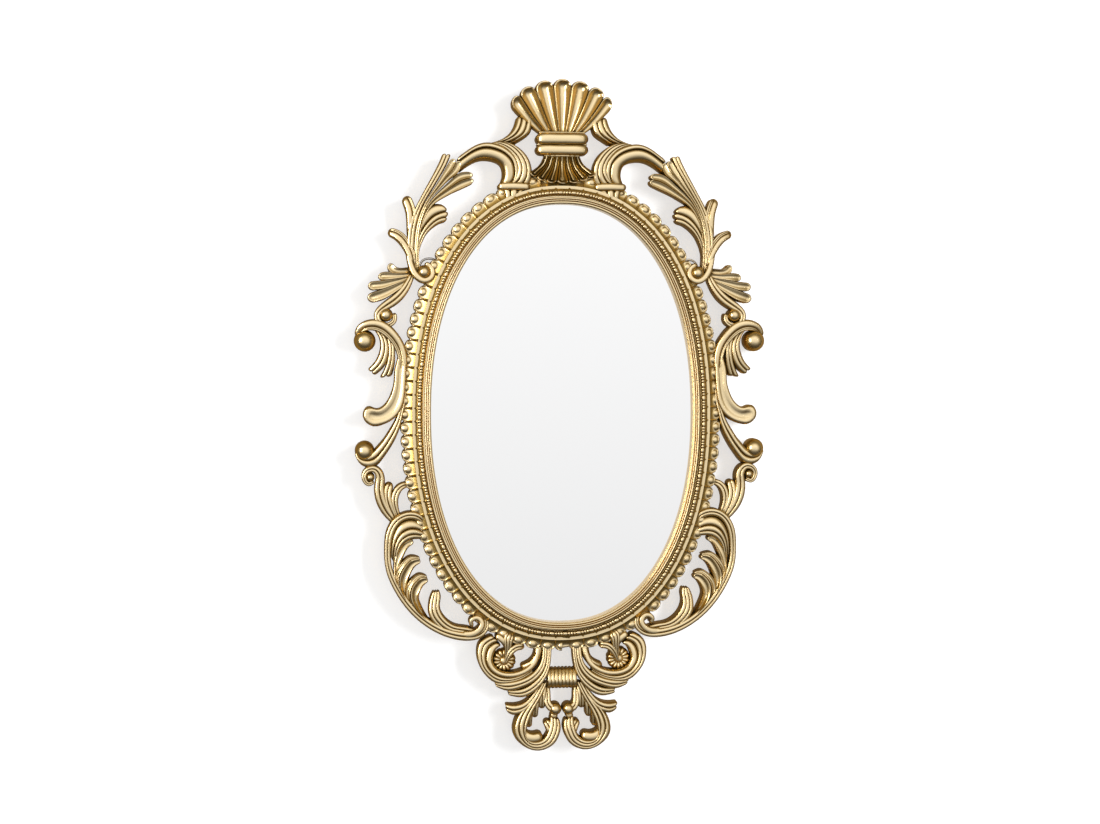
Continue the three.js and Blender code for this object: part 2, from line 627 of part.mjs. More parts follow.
// The large acanthus scroll: three nested bands that roll over at the top, four fingers inside the curve and
// a curl that seats on the rail.
const lowerAcanthus = oneSide([
  stroke(
    [[153, -123, 5, 19], [160.5, -114.6, 8, 22.5], [172.5, -112, 8.5, 24],
      [184, -117, 8.5, 24], [192.5, -130, 8.5, 24], [195.6, -149, 7.5, 23],
      [194, -172, 7.5, 22.5], [185.5, -193, 8, 22.5], [172, -213.5, 8.5, 22.5],
      [154, -231, 9, 22.5], [132, -243.6, 9.5, 23], [109, -249, 10, 23], [93, -247, 8, 22],
      [85.8, -239.5, 6.5, 21.5], [86.5, -229, 5.5, 20.5]],
  ),
  leaf(
    [[186, -170], [184, -156], [179.5, -146.5], [172, -140.5], [163, -139], [155, -139.5]],
    [[192, -165], [190, -146], [185.5, -134.5], [177, -128], [166, -127.5], [154, -132.5]],
    [20, 22, 23, 23.5, 22, 19],
  ),
  leaf(
    [[190, -165], [187.5, -146], [183, -134.5], [175, -128.5], [165, -127.5], [154.5, -131]],
    [[195, -155], [192.5, -138], [187, -124], [177, -115.5], [165, -115], [153, -123.5]],
    [20.5, 22.5, 24, 25, 23.5, 20],
  ),
  leaf(
    [[181, -202], [183.5, -184], [181.5, -168], [176.5, -155.5], [171, -147.3], [166, -144.8]],
    [[191, -198], [192, -178], [189.5, -161], [184, -149], [176, -141], [167.5, -139]],
    [19.5, 21.5, 22, 22.5, 21, 18.5], "spoon",
  ),
  leaf(
    [[166, -222], [172.5, -205], [173, -189], [169.5, -177.5], [164, -169.3], [158.5, -166]],
    [[183, -208], [188, -190], [187, -176], [180.5, -164.7], [170.5, -157.5], [160, -159.5]],
    [19.5, 21.5, 22.5, 23, 21.5, 18.5], "spoon",
  ),
  leaf(
    [[138, -241], [150.5, -228], [158, -214], [160.7, -204], [158.5, -196.5], [155, -191],
      [150, -187.5]],
    [[164, -230], [173.5, -212], [176.5, -198], [173.2, -187.4], [167, -181], [160.5, -177.8],
      [152, -180.5]],
    [19.5, 21.5, 22.5, 23, 22, 18.5], "spoon",
  ),
  leaf(
    [[98, -241], [108.3, -238], [119, -236.2], [128.7, -230.5], [135.5, -221.5],
      [137.5, -212.5], [136.5, -203], [138, -197.5]],
    [[106, -250], [119, -249], [134, -243.5], [144.5, -234], [150, -224.5], [150.5, -215],
      [148.6, -205], [145.5, -198]],
    [20, 21.5, 22.5, 23, 22, 19],
  ),
  stroke(
    [[116, -245.5, 7, 21], [104, -246.5, 8, 23.5], [94, -242, 7, 24.5], [90.6, -234, 6, 24.5],
      [96, -228, 5.5, 24], [102.8, -231.8, 5, 23.5], [101, -238, 4.5, 22]],
  ),
]);

// The plume below the rail: leaves sweep outwards from one root, and two bands roll up round the rosette.
const plume = oneSide([
  leaf(
    [[31, -263], [32.5, -272], [38, -278.5], [47.5, -282.5]],
    [[21, -263], [24, -275], [32, -285.5], [45, -290.5]],
    [19, 20.5, 21, 18],
  ),
  leaf(
    [[17, -263], [20, -287], [32, -301.5], [46, -309.2], [61, -311]],
    [[11.8, -263], [12.9, -280], [18, -297], [29, -311], [44.5, -319.2], [60.5, -317]],
    [20, 22, 23.5, 23, 19.5],
  ),
  leaf(
    [[22, -263], [25, -281], [37, -293.6], [55, -300.4], [76.5, -301.5]],
    [[16.5, -263], [19.5, -286], [31, -300.8], [47, -308.6], [62, -311.6], [74.5, -307]],
    [20, 22.5, 24, 23.5, 20],
  ),
  leaf(
    [[29, -265], [36, -280.5], [46, -287.5], [58, -290.2], [69.5, -288.2], [76, -283],
      [78.6, -276.5], [77, -269.5], [72.5, -263], [67.5, -260.5]],
    [[24, -265], [29, -283], [40, -292], [55, -296.6], [70, -295], [80.5, -289], [86, -279.5],
      [86, -268.5], [81, -259.5], [73.5, -255.8]],
    [19.5, 22, 23.5, 24, 23.5, 22.5, 20],
  ),
  leaf(
    [[34, -286], [44, -292.5], [56, -296.2], [69, -295], [79.5, -289.3], [85.4, -280],
      [85.6, -268.5], [81, -260], [71, -255.5]],
    [[34, -293], [46, -299.5], [60, -302.6], [76.5, -301.6], [86.5, -293.5], [94, -281.5],
      [96.4, -268.7], [93.4, -256], [80, -247.5]],
    [20, 22, 23, 23.5, 23.5, 22.5, 20.5],
  ),
]);

// A button fluted like a daisy, with a forked leaf laid over it. The fork hangs from the rail.
const ROSETTE_FLUTES = 14;
const ROSETTE_RINGS = [
  [3, 17.5, 0],
  [8, 17, 0.5],
  [12.6, 15.5, 1.4],
  [13.6, 12.5, 1.4],
]; // each ring's radius, height and depth of flute
function rosetteButton(x, z) {
  return (grow) => {
    const ring = (radius, height, flute) =>
      Array.from({ length: 2 * ROSETTE_FLUTES }, (_, i) => {
        const angle = (Math.PI * i) / ROSETTE_FLUTES;
        const r = patternSize(radius) + grow - (i % 2) * flute * 0.8;
        const at = [patternX(x) + r * Math.cos(angle), patternZ(z) + r * Math.sin(angle)];
        return [at[0], -(patternHeight(height) + grow - (i % 2) * flute), at[1]];
      });
    const [outerRadius, , outerFlute] = ROSETTE_RINGS.at(-1);
    const foot = ring(outerRadius, 0, outerFlute).map(([px, , pz]) => [px, -(CASTING_BACK - grow), pz]);
    return skinRings([...ROSETTE_RINGS.map((one) => ring(...one)), foot], false);
  };
}
const rosette = oneSide([
  rosetteButton(65.2, -278),
  stroke(
    [[64.5, -281, 3, 18.5], [59.5, -270, 7, 21], [51.5, -262.6, 8, 21.5], [42.4, -262.4, 7.5, 19]],
  ),
  stroke(
    [[64, -278, 3, 18.5], [61.5, -264, 8, 21.5], [60.5, -252, 12, 23], [57.5, -245, 13, 22]],
  ),
  stroke(
    [[62, -264, 5, 19.5], [66.5, -255, 7, 22], [75, -248.5, 7, 21]],
  ),
]);

// The reeded cross bar of the lyre: upright reeds side by side, rounded over at the bar's top and bottom.
const LYRE_REEDS = 8;
const LYRE_REED_PITCH = 4;
const LYRE_REED_DEPTH = 1.3;
const LYRE_TOP = -288;
const LYRE_BOTTOM = -310.5;
const LYRE_HEIGHT = 22;
function lyreBar(grow) {
  const levels = [
    [LYRE_TOP + grow, 5],
    [LYRE_TOP - 6, 0],
    [LYRE_BOTTOM + 2, 0],
    [LYRE_BOTTOM - grow, 4],
  ]; // each level's z and how far the reeds have rounded over there
  const half = (LYRE_REEDS * LYRE_REED_PITCH) / 2;
  const rings = levels.map(([z, over]) => {
    const top = patternHeight(LYRE_HEIGHT) - over + grow;
    const row = Array.from({ length: 2 * LYRE_REEDS + 1 }, (_, i) => [
      (i / 2) * LYRE_REED_PITCH - half,
      top - (i % 2 ? 0 : LYRE_REED_DEPTH),
    ]);
    row[0][0] -= grow;
    row.at(-1)[0] += grow;
    const foot = CASTING_BACK - grow;
    const outline = [[row[0][0], foot], ...row, [row.at(-1)[0], foot]];
    return outline.map(([x, height]) => [patternX(x), -height, patternZ(z)]);
  });
  return skinRings(rings, false);
}

// The lowest leaf: it sweeps out from the lyre, rolls under and up to the middle, with fingers inside the
// curve.
const pendantLeaf = oneSide([
  boss(7.4, -333.6, 7, 24),
  leaf(
    [[27, -305], [36, -320], [45, -332.5], [51.5, -341], [55, -350], [55.8, -358],
      [53.5, -366], [48, -371.2], [42, -375.8], [33, -379.9], [24.4, -380.7], [15, -377.4],
      [8, -372], [3.4, -364], [1.2, -355], [2.6, -345.5]],
    [[16, -303], [23, -319], [31.5, -334.5], [38, -349], [40.6, -357], [40.6, -363],
      [36.5, -368], [30, -369.6], [24, -368.4], [19.5, -365], [16.5, -359.5], [14.5, -352],
      [13.5, -342]],
    [20, 22, 23, 24, 24, 23.5, 23, 22.5, 19.5],
  ),
  leaf(
    [[28, -308], [35, -317.6], [43, -324.6], [52, -327.4], [64, -326.8]],
    [[23, -310], [31, -324], [40, -334], [48.8, -338.6], [55, -339.6], [62.5, -336]],
    [20, 22, 22.5, 22, 19],
  ),
  stroke(
    [[19, -303, 6, 17], [21.8, -317, 8, 20], [22.5, -333.5, 7.5, 17.5]],
  ),
  stroke(
    [[24, -310, 6, 18], [29.3, -325, 8.5, 20.5], [30.6, -343.5, 7, 17.5]],
  ),
  stroke(
    [[32, -322, 6, 19], [37, -338, 8.5, 21], [37.2, -354.5, 7, 17.5]],
  ),
  stroke(
    [[12, -368, 6, 18], [13, -358, 9, 20.5], [18.5, -346.5, 8, 18]],
  ),
  stroke(
    [[45, -352, 7, 19], [42, -361.5, 9.5, 22], [33, -365.8, 11, 23], [22, -362.6, 10, 21]],
  ),
  stroke(
    [[17.5, -304, 7, 17], [16.4, -318, 7.5, 19], [15.4, -328, 8.5, 21], [8.8, -334.5, 10, 22.5]],
  ),
  stroke(
    [[7, -337, 8, 18], [10.5, -346, 9, 18]],
  ),
]);

// ---------------------------------------------------------------- frame rail

const COVE_FROM = SLIP_GAP + 2 * ASTRAGAL_RADIUS + 0.8; // where the beads end and the eggs begin
const COVE_HEIGHT = RAIL_CREST - 2.6;
const TIP_HEIGHT = COVE_HEIGHT - EGG_FALL;

// The rail's profile from its outer wall over an egg, or over the notch between two, to the beads, the lip
// and the rebate. The share is 1 along an egg's middle and 0 in a notch.
function railProfile(share) {
  const tip = EGG_NOTCH + (EGG_TIP - EGG_NOTCH) * share;
  const notch = DART_DEPTH * (1 - share);
  const beadAt = SLIP_GAP + ASTRAGAL_RADIUS;
  const beads = [55, 125].map((degrees) => {
    const angle = THREE.MathUtils.degToRad(degrees);
    return [beadAt + ASTRAGAL_RADIUS * Math.cos(angle), RAIL_CREST - ASTRAGAL_RADIUS * (1 - Math.sin(angle))];
  });
  const across = (part) => COVE_FROM + (tip - COVE_FROM) * part;
  return [
    [tip, CASTING_BACK],
    [tip, TIP_HEIGHT - EGG_TIP_THICKNESS - notch],
    [across(0.85), TIP_HEIGHT + 1.6 - notch],
    [across(0.35), COVE_HEIGHT - 0.36 * EGG_FALL - 0.5 * notch],
    ...beads,
    [SLIP_GAP, LIP_BACK],
    [REBATE_WIDTH, LIP_BACK],
    [REBATE_WIDTH, CASTING_BACK],
  ];
}

// The smooth body that just clears the rail all over, which the castings are hollowed out by to seat on it.
// Its corners stand over the eggs' middles, so that its flats pass over the notches.
function railSeat(clearance) {
  const rise = 1.2 + clearance;
  const profile = [
    [EGG_TIP + clearance, CASTING_BACK - 1],
    [EGG_TIP + clearance, TIP_HEIGHT - EGG_TIP_THICKNESS + rise],
    [EGG_TIP - 2, TIP_HEIGHT + rise],
    [COVE_FROM + 0.5 * (EGG_TIP - COVE_FROM), COVE_HEIGHT - 0.45 * EGG_FALL + rise],
    [COVE_FROM, COVE_HEIGHT + rise],
    [SLIP_GAP, RAIL_CREST + rise],
    [-SLIP_GAP - SLIP_WIDTH, RAIL_CREST + rise],
    [-SLIP_GAP - SLIP_WIDTH, CASTING_BACK - 1],
  ];
  return ovalMoulding(profile, railStations.filter((_, i) => i % 2 === 1));
}

// The rail takes a section at every egg's middle and at every notch.
function frameRail() {
  const sections = railStations.map((place, i) =>
    railProfile(i % 2).map(([distance, height]) => outFrom(place, distance, height)),
  );
  return skinRings(sections, true);
}

// ---------------------------------------------------------------- slip, glass, packing and board

const slipTop = (drop) => SLIP_CREST - drop;
const slipProfile = [
  [-SLIP_GAP - SLIP_WIDTH, SLIP_BACK],
  [-SLIP_GAP - SLIP_WIDTH, slipTop(2.6)],
  [-SLIP_GAP - 0.8 * SLIP_WIDTH, slipTop(0)],
  [-SLIP_GAP - 0.5 * SLIP_WIDTH, slipTop(0.2)],
  [-SLIP_GAP - 0.3 * SLIP_WIDTH, slipTop(2.6)],
  [-SLIP_GAP - 0.14 * SLIP_WIDTH, slipTop(1.6)],
  [-SLIP_GAP, slipTop(2.6)],
  [-SLIP_GAP, LIP_BACK - CLEARANCE],
  [REBATE_WIDTH - CLEARANCE, LIP_BACK - CLEARANCE],
  [REBATE_WIDTH - CLEARANCE, SLIP_BACK],
];

// ---------------------------------------------------------------- fastenings

// A solid turned about an axis that points away from the wall, from a profile of [radius, height].
function turned(profile, sides, x, z) {
  const geometry = new THREE.LatheGeometry(
    profile.map(([radius, height]) => new THREE.Vector2(radius, height)),
    sides,
  );
  geometry.rotateX(Math.PI);
  geometry.translate(x, 0, z);
  return solidOfGeometry(geometry);
}

const pin = (radius, low, high, x, z, sides = 6) =>
  turned([[0, low], [radius, low], [radius, high], [0, high]], sides, x, z);

// A pan-head screw whose head bears on a surface at the given height.
function screw(x, z, seat) {
  const point = CASTING_BACK + SCREW_BITE;
  return turned(
    [
      [0, seat - SCREW_HEAD_HEIGHT],
      [SCREW_HEAD_RADIUS, seat - SCREW_HEAD_HEIGHT],
      [SCREW_HEAD_RADIUS, seat],
      [SCREW_SHANK_RADIUS, seat],
      [SCREW_SHANK_RADIUS, point - 2],
      [0, point],
    ],
    6,
    x,
    z,
  );
}

const screwHole = (x, z, low, high) => pin(SCREW_SHANK_RADIUS + CLEARANCE, low, high, x, z);

// Board screws stand at even turns, clear of the hangers.
const boardScrewPlaces = Array.from({ length: BOARD_SCREW_COUNT }, (_, i) => {
  const place = ovalPoint((i + 0.5) / BOARD_SCREW_COUNT);
  const [x, , z] = outFrom(place, SCREW_LINE, 0);
  return [x, z];
});

// The hanger's hinge line crosses the screw line at its own height.
const hangerX = (() => {
  const turns = Array.from({ length: 400 }, (_, i) => ovalPoint(0.25 + i / 1600));
  const height = HANGER_Z - STRAP_SCREW_DROP - STRAP_SCREW_PITCH / 2;
  const reached = turns.find((place) => outFrom(place, SCREW_LINE, 0)[2] > height);
  return outFrom(reached, SCREW_LINE, 0)[0];
})();
const hangerScrewPlaces = [0, 1].map((i) => [hangerX, HANGER_Z - STRAP_SCREW_DROP - i * STRAP_SCREW_PITCH]);

const HINGE_HEIGHT = -CLEARANCE - STRAP_THICKNESS - HINGE_CLEARANCE - RING_WIRE_RADIUS;

// The strap: a plate with a rolled eye along its top edge and a half-round foot, pierced for two screws.
function hangerStrap() {
  const inner = RING_WIRE_RADIUS + HINGE_CLEARANCE;
  const outer = inner + STRAP_THICKNESS;
  const half = STRAP_WIDTH / 2;
  const foot = -STRAP_LENGTH + half;
  const plate = new THREE.Shape();
  plate.moveTo(-half, 0);
  plate.lineTo(-half, foot);
  plate.absarc(0, foot, half, Math.PI, 2 * Math.PI, false);
  plate.lineTo(half, 0);
  const plateGeometry = new THREE.ExtrudeGeometry(plate, {
    depth: STRAP_THICKNESS,
    bevelEnabled: false,
    curveSegments: 8,
  });
  plateGeometry.rotateX(Math.PI / 2); // drawn in X and Z, and thick along Y
  plateGeometry.translate(hangerX, CLEARANCE + STRAP_THICKNESS, HANGER_Z);

  // The eye is a tube round the hinge line, rolled from the plate and closed against it.
  const eye = (radius, length) => {
    const tube = new THREE.CylinderGeometry(radius, radius, length, 14);
    tube.rotateZ(Math.PI / 2);
    tube.translate(hangerX, -HINGE_HEIGHT, HANGER_Z);
    return solidOfGeometry(tube);
  };
  return unite([solidOfGeometry(plateGeometry), eye(outer, STRAP_WIDTH)])
    .subtract(eye(inner, STRAP_WIDTH + 2))
    .subtract(unite(hangerScrewPlaces.map(([x, z]) => screwHole(x, z, -8, 1))));
}

// The ring: a D of round wire whose straight side runs through the eye.
function hangerRing() {
  const half = RING_WIDTH / 2;
  const loop = new THREE.CurvePath();
  const corner = (x, z) => new THREE.Vector3(x, 0, z);
  const BEND = 3;
  loop.add(new THREE.LineCurve3(corner(-half + BEND, 0), corner(half - BEND, 0)));
  loop.add(new THREE.QuadraticBezierCurve3(corner(half - BEND, 0), corner(half, 0), corner(half, BEND)));
  loop.add(
    new THREE.CubicBezierCurve3(
      corner(half, BEND),
      corner(half, RING_HEIGHT * 1.2),
      corner(-half, RING_HEIGHT * 1.2),
      corner(-half, BEND),
    ),
  );
  loop.add(new THREE.QuadraticBezierCurve3(corner(-half, BEND), corner(-half, 0), corner(-half + BEND, 0)));
  const stops = [0, 1].map((t) => [0, t]);
  for (const [curve, count] of [[1, 3], [2, 12], [3, 3]]) {
    for (let i = 1; i <= count; i++) stops.push([curve, i / count]);
  }
  const rings = stops.slice(0, -1).map(([curve, t]) => {
    const at = loop.curves[curve].getPoint(t);
    const tangent = loop.curves[curve].getTangent(t);
    const sideways = new THREE.Vector3(-tangent.z, 0, tangent.x);
    return Array.from({ length: 6 }, (_, i) => {
      const angle = (Math.PI * (2 * i + 1)) / 6;
      const out = RING_WIRE_RADIUS * Math.cos(angle);
      return [
        hangerX + at.x + sideways.x * out,
        -HINGE_HEIGHT + RING_WIRE_RADIUS * Math.sin(angle),
        HANGER_Z + at.z + sideways.z * out,
      ];
    });
  });
  return skinRings(rings, true);
}

// A rubber bumper low on the board's back.
const bumperX = (() => {
  const turns = Array.from({ length: 400 }, (_, i) => ovalPoint(i / 1600));
  const reached = turns.find((place) => outFrom(place, 0, 0)[2] > BUMPER_Z);
  return outFrom(reached, 0, 0)[0];
})();
const bumper = turned(
  [
    [0, -CLEARANCE - BUMPER_THICKNESS],
    [BUMPER_RADIUS - 1.2, -CLEARANCE - BUMPER_THICKNESS],
    [BUMPER_RADIUS, -CLEARANCE - BUMPER_THICKNESS + 1.2],
    [BUMPER_RADIUS, -CLEARANCE],
    [0, -CLEARANCE],
  ],
  14,
  bumperX,
  BUMPER_Z,
);

// ---------------------------------------------------------------- assembly

// Every casting, with the ones that it seats on. It is cut back from those by the clearance.
const castings = [
  { name: "crest_collar", shape: crestCollar, seats: [] },
  { name: "crest_shell", shape: crestShell, seats: ["crest_collar"] },
  { name: "crest_skirt", shape: crestSkirt, seats: ["crest_collar"] },
  { name: "side_scroll", shape: sideScroll, seats: [], paired: true },
  {
    name: "crest_scroll",
    shape: crestScroll,
    seats: ["crest_skirt", "crest_shell", "crest_collar"],
    paired: true,
  },
  { name: "upper_spray", shape: upperSpray, seats: ["crest_scroll"], paired: true },
  { name: "side_palmette", shape: sidePalmette, seats: ["upper_spray", "side_scroll"], paired: true },
  { name: "lower_acanthus", shape: lowerAcanthus, seats: [], paired: true },
  { name: "side_volute", shape: sideVolute, seats: ["side_scroll", "lower_acanthus"], paired: true },
  { name: "plume", shape: plume, seats: ["lower_acanthus"], paired: true },
  { name: "rosette", shape: rosette, seats: ["plume", "lower_acanthus"], paired: true },
  { name: "lyre_bar", shape: lyreBar, seats: ["plume"] },
  { name: "pendant_leaf", shape: pendantLeaf, seats: ["plume", "lyre_bar"], paired: true },
];

const railCutter = railSeat(CLEARANCE);
const grown = Object.fromEntries(castings.map(({ name, shape }) => [name, shape(CLEARANCE)]));

// A paired casting keeps to its own side of the frame's middle.
const FAR = 1000;
const leftOfMiddle = solidOfGeometry(
  new THREE.BoxGeometry(FAR, FAR, FAR).translate(CLEARANCE / 2 - FAR / 2, 0, 0),
);

const frame = new THREE.Group();
for (const { name, shape, seats, paired } of castings) {
  const cutters = [railCutter, ...seats.map((seat) => grown[seat])];
  for (const seat of seats) {
    const bothPaired = paired && castings.find((other) => other.name === seat).paired;
    if (!bothPaired) cutters.push(mirrored(grown[seat]));
  }
  if (paired) cutters.push(leftOfMiddle);
  const solid = mainBody(shape(0).subtract(unite(cutters)));
  if (paired) {
    frame.add(meshOf(name + "_right", solid, gilding));
    frame.add(meshOf(name + "_left", mirrored(solid), gilding));
  } else {
    frame.add(meshOf(name, solid, gilding));
  }
}

const leftHangerScrewPlaces = hangerScrewPlaces.map(([x, z]) => [-x, z]);
const screwPlaces = [...boardScrewPlaces, ...hangerScrewPlaces, ...leftHangerScrewPlaces];
const railScrewHoles = screwPlaces.map(([x, z]) =>
  screwHole(x, z, CASTING_BACK - 1, CASTING_BACK + SCREW_BITE + CLEARANCE),
);
frame.add(meshOf("frame_rail", frameRail().subtract(unite(railScrewHoles)), gilding));
frame.add(meshOf("glass_slip", ovalMoulding(slipProfile), slipGilding));

const glass = ovalPlate(GLASS_MARGIN, GLASS_BACK, GLASS_BACK + GLASS_THICKNESS);
frame.add(meshOf("mirror_glass", glass, silvering));
const packing = ovalPlate(PACKING_MARGIN, PACKING_BACK, PACKING_BACK + PACKING_THICKNESS);
frame.add(meshOf("packing_sheet", packing, card));

const boardHoles = screwPlaces.map(([x, z]) => screwHole(x, z, -1, BOARD_THICKNESS + 1));
const board = ovalPlate(BOARD_MARGIN, 0, BOARD_THICKNESS).subtract(unite(boardHoles));
frame.add(meshOf("backing_board", board, hardboard));
boardScrewPlaces.forEach(([x, z], i) => {
  frame.add(meshOf(`board_screw_${i + 1}`, screw(x, z, -CLEARANCE), zinc));
});

const strap = hangerStrap();
const ring = hangerRing();
for (const [side, place] of [
  ["right", (solid) => solid],
  ["left", mirrored],
]) {
  frame.add(meshOf(`hanger_strap_${side}`, place(strap), zinc));
  frame.add(meshOf(`hanger_ring_${side}`, place(ring), zinc));
  frame.add(meshOf(`bumper_${side}`, place(bumper), rubber));
  hangerScrewPlaces.forEach(([x, z], i) => {
    const head = screw(x, z, -2 * CLEARANCE - STRAP_THICKNESS);
    frame.add(meshOf(`hanger_screw_${i + 1}_${side}`, place(head), zinc));
  });
}

export default frame;
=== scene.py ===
"""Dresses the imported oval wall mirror: gilded carving, slip, silvered glass, board and hangers.

Lengths in this file are millimetres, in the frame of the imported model, and become metres where a mesh is
made. A height is measured from the backing board's rear face towards the viewer, so it is -Y.
"""

import json

import bpy
import numpy as np
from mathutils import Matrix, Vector

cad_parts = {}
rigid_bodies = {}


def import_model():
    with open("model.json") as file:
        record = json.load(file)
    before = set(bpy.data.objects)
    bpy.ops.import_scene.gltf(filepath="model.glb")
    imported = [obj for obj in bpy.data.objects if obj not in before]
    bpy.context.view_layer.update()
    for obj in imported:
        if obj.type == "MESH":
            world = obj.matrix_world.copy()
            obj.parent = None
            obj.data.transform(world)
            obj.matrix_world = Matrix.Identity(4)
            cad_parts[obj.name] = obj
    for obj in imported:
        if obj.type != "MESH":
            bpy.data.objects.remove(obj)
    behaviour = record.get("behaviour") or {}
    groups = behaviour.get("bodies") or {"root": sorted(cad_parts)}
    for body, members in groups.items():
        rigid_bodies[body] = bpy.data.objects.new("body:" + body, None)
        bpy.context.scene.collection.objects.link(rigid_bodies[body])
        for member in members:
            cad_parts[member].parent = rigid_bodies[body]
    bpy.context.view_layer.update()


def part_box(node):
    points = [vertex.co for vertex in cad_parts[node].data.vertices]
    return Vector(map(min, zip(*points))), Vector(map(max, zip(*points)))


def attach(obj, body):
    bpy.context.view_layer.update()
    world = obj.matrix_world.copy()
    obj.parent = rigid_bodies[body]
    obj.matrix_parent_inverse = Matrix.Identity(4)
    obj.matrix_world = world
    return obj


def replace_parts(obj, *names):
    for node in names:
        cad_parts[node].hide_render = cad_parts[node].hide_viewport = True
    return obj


bl_info = {
    "name": "Oval Wall Mirror",
    "version": (1, 0, 0),
    "blender": (4, 5, 0),
    "location": "3D View > Sidebar > Mirror",
    "description": "Carves an oval mirror frame with crest, scrolls and pendant round a packed model",
    "category": "Object",
}

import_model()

MM = 0.001


def node_box(node):
    """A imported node's lowest and highest corners, in millimetres."""
    low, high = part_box(node)
    return np.array(low) / MM, np.array(high) / MM


RAIL_LOW, RAIL_HIGH = node_box("frame_rail")
SLIP_LOW, SLIP_HIGH = node_box("glass_slip")
_, GLASS_HIGH = node_box("mirror_glass")

# ---------------------------------------------------------------- sizes

SQUARENESS = 2.19  # 2 is a true ellipse, and more is squarer
GLASS_MARGIN = 9.0  # of the glass outside the sight line
SIGHT_HALF_WIDTH = GLASS_HIGH[0] - GLASS_MARGIN
SIGHT_HALF_HEIGHT = GLASS_HIGH[2] - GLASS_MARGIN
CASTING_BACK = -RAIL_HIGH[1]
RAIL_TOP = -RAIL_LOW[1]
SLIP_TOP = -SLIP_LOW[1]
SLIP_BACK = -SLIP_HIGH[1]

EGG_COUNT = 88
EGG_STATIONS = 20  # sections of the rail for each egg
BEAD_STATIONS = 9  # sections of the bead row for each bead
SLIP_STATIONS = 520
PLATE_STATIONS = 360  # round the glass, card and board
OVAL_STEPS = 4000  # of the polyline that the oval's length is measured on
STROKE_STEP = 1.0  # between sections of a stroke
NOSE_STEPS = 7  # sections round each end of a stroke
NOSE_FALL = 0.75  # of a stroke's end, as a share of its half width
LEAST_HALF = 0.08  # of a stroke's width
LEAST_HEIGHT = 1.0  # of carving over its flat back
CARVED_EDGE = 48.0  # degrees above which an edge of the carving is sharp
WALL_ROWS = np.array([0.35, 0.7, 1.0])  # rows of points down a stroke's wall, as shares of it
RIB_STEPS = 10  # columns across a rib of a fan
FEWEST_ROWS = 14  # along a fan
EDGE_POINTS = 40  # along each edge of a leaf
TIP_ROWS = 8  # of those round its tips
NEAR_TIP = 0.93  # share of the way along a fan at which its tips are measured across
TIP_SHARES = (0.01, 0.45)  # least and most of a fan's length that its tips may take


class MirrorSizes(bpy.types.PropertyGroup):
    """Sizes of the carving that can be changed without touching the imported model."""

    egg_rise: bpy.props.FloatProperty(
        name="Egg rise",
        description="Height of each egg's boss above the band it lies on, in millimetres",
        default=2.0,
        min=0.5,
        max=5.0,
    )
    rim_rise: bpy.props.FloatProperty(
        name="Rim rise",
        description="Height of the pointed rim round each egg, in millimetres",
        default=1.0,
        min=0.2,
        max=4.0,
    )
    bead_radius: bpy.props.FloatProperty(
        name="Bead radius",
        description="Radius of the beads round the slip, in millimetres",
        default=2.7,
        min=1.0,
        max=3.0,
    )
    groove_depth: bpy.props.FloatProperty(
        name="Groove depth",
        description="How deep the grooves between the ribs of the carving are, as a share of a rib",
        default=1.0,
        min=0.2,
        max=1.5,
        subtype="FACTOR",
    )


class MirrorFinish(bpy.types.PropertyGroup):
    """Colours of the mirror's finishes."""

    # These two colours are painted light and shade: the first is used where the surface faces the front, the
    # second on side walls and in grooves, where it stands in for shade.
    gold: bpy.props.FloatVectorProperty(
        name="Gold",
        description="Colour of the metallic lacquer where it was sprayed square on",
        default=(0.9, 0.72, 0.43),
        size=3,
        min=0.0,
        max=1.0,
        subtype="COLOR",
    )
    shaded_gold: bpy.props.FloatVectorProperty(
        name="Shaded gold",
        description="Colour of the shaded lacquer on side walls and in the grooves",
        default=(0.62, 0.39, 0.08),
        size=3,
        min=0.0,
        max=1.0,
        subtype="COLOR",
    )
    board: bpy.props.FloatVectorProperty(
        name="Board",
        description="Colour of the pressed fibre board",
        default=(0.23, 0.13, 0.065),
        size=3,
        min=0.0,
        max=1.0,
        subtype="COLOR",
    )


class MirrorStudio(bpy.types.PropertyGroup):
    """The light round the mirror."""

    side_light: bpy.props.FloatProperty(
        name="Side light",
        description="Power of each tall softbox, in watts",
        default=26.0,
        min=0.0,
        max=400.0,
        unit="POWER",
    )
    ambient: bpy.props.FloatProperty(
        name="Ambient",
        description="Strength of the even light from all round",
        default=0.42,
        min=0.0,
        max=2.0,
    )


# ---------------------------------------------------------------- meshes


def mesh_object(name, points, faces, slot, body="root", smooth=45.0):
    """A piece from an array of points in millimetres and one of quads or triangles."""
    mesh = bpy.data.meshes.new(name)
    faces = np.asarray(faces, np.int32)
    mesh.vertices.add(len(points))
    mesh.vertices.foreach_set("co", (np.asarray(points, np.float64) * MM).astype(np.float32).ravel())
    sides = faces.shape[1]
    mesh.loops.add(faces.size)
    mesh.loops.foreach_set("vertex_index", faces.ravel())
    mesh.polygons.add(len(faces))
    mesh.polygons.foreach_set("loop_start", np.arange(0, faces.size, sides, dtype=np.int32))
    mesh.update(calc_edges=True)
    mesh.validate()
    return finish_piece(name, mesh, slot, body, smooth)


def finish_piece(name, mesh, slot, body="root", smooth=45.0):
    """Puts a mesh in the scene on its body, in its slot's material, and smooth but for edges sharper than the
    angle given, in degrees."""
    mesh.polygons.foreach_set("use_smooth", np.ones(len(mesh.polygons), bool))
    mesh.set_sharp_from_angle(angle=np.radians(smooth))
    mesh.materials.clear()
    mesh.materials.append(materials[slot])
    piece = bpy.data.objects.new(name, mesh)
    bpy.context.scene.collection.objects.link(piece)
    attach(piece, body)
    return piece


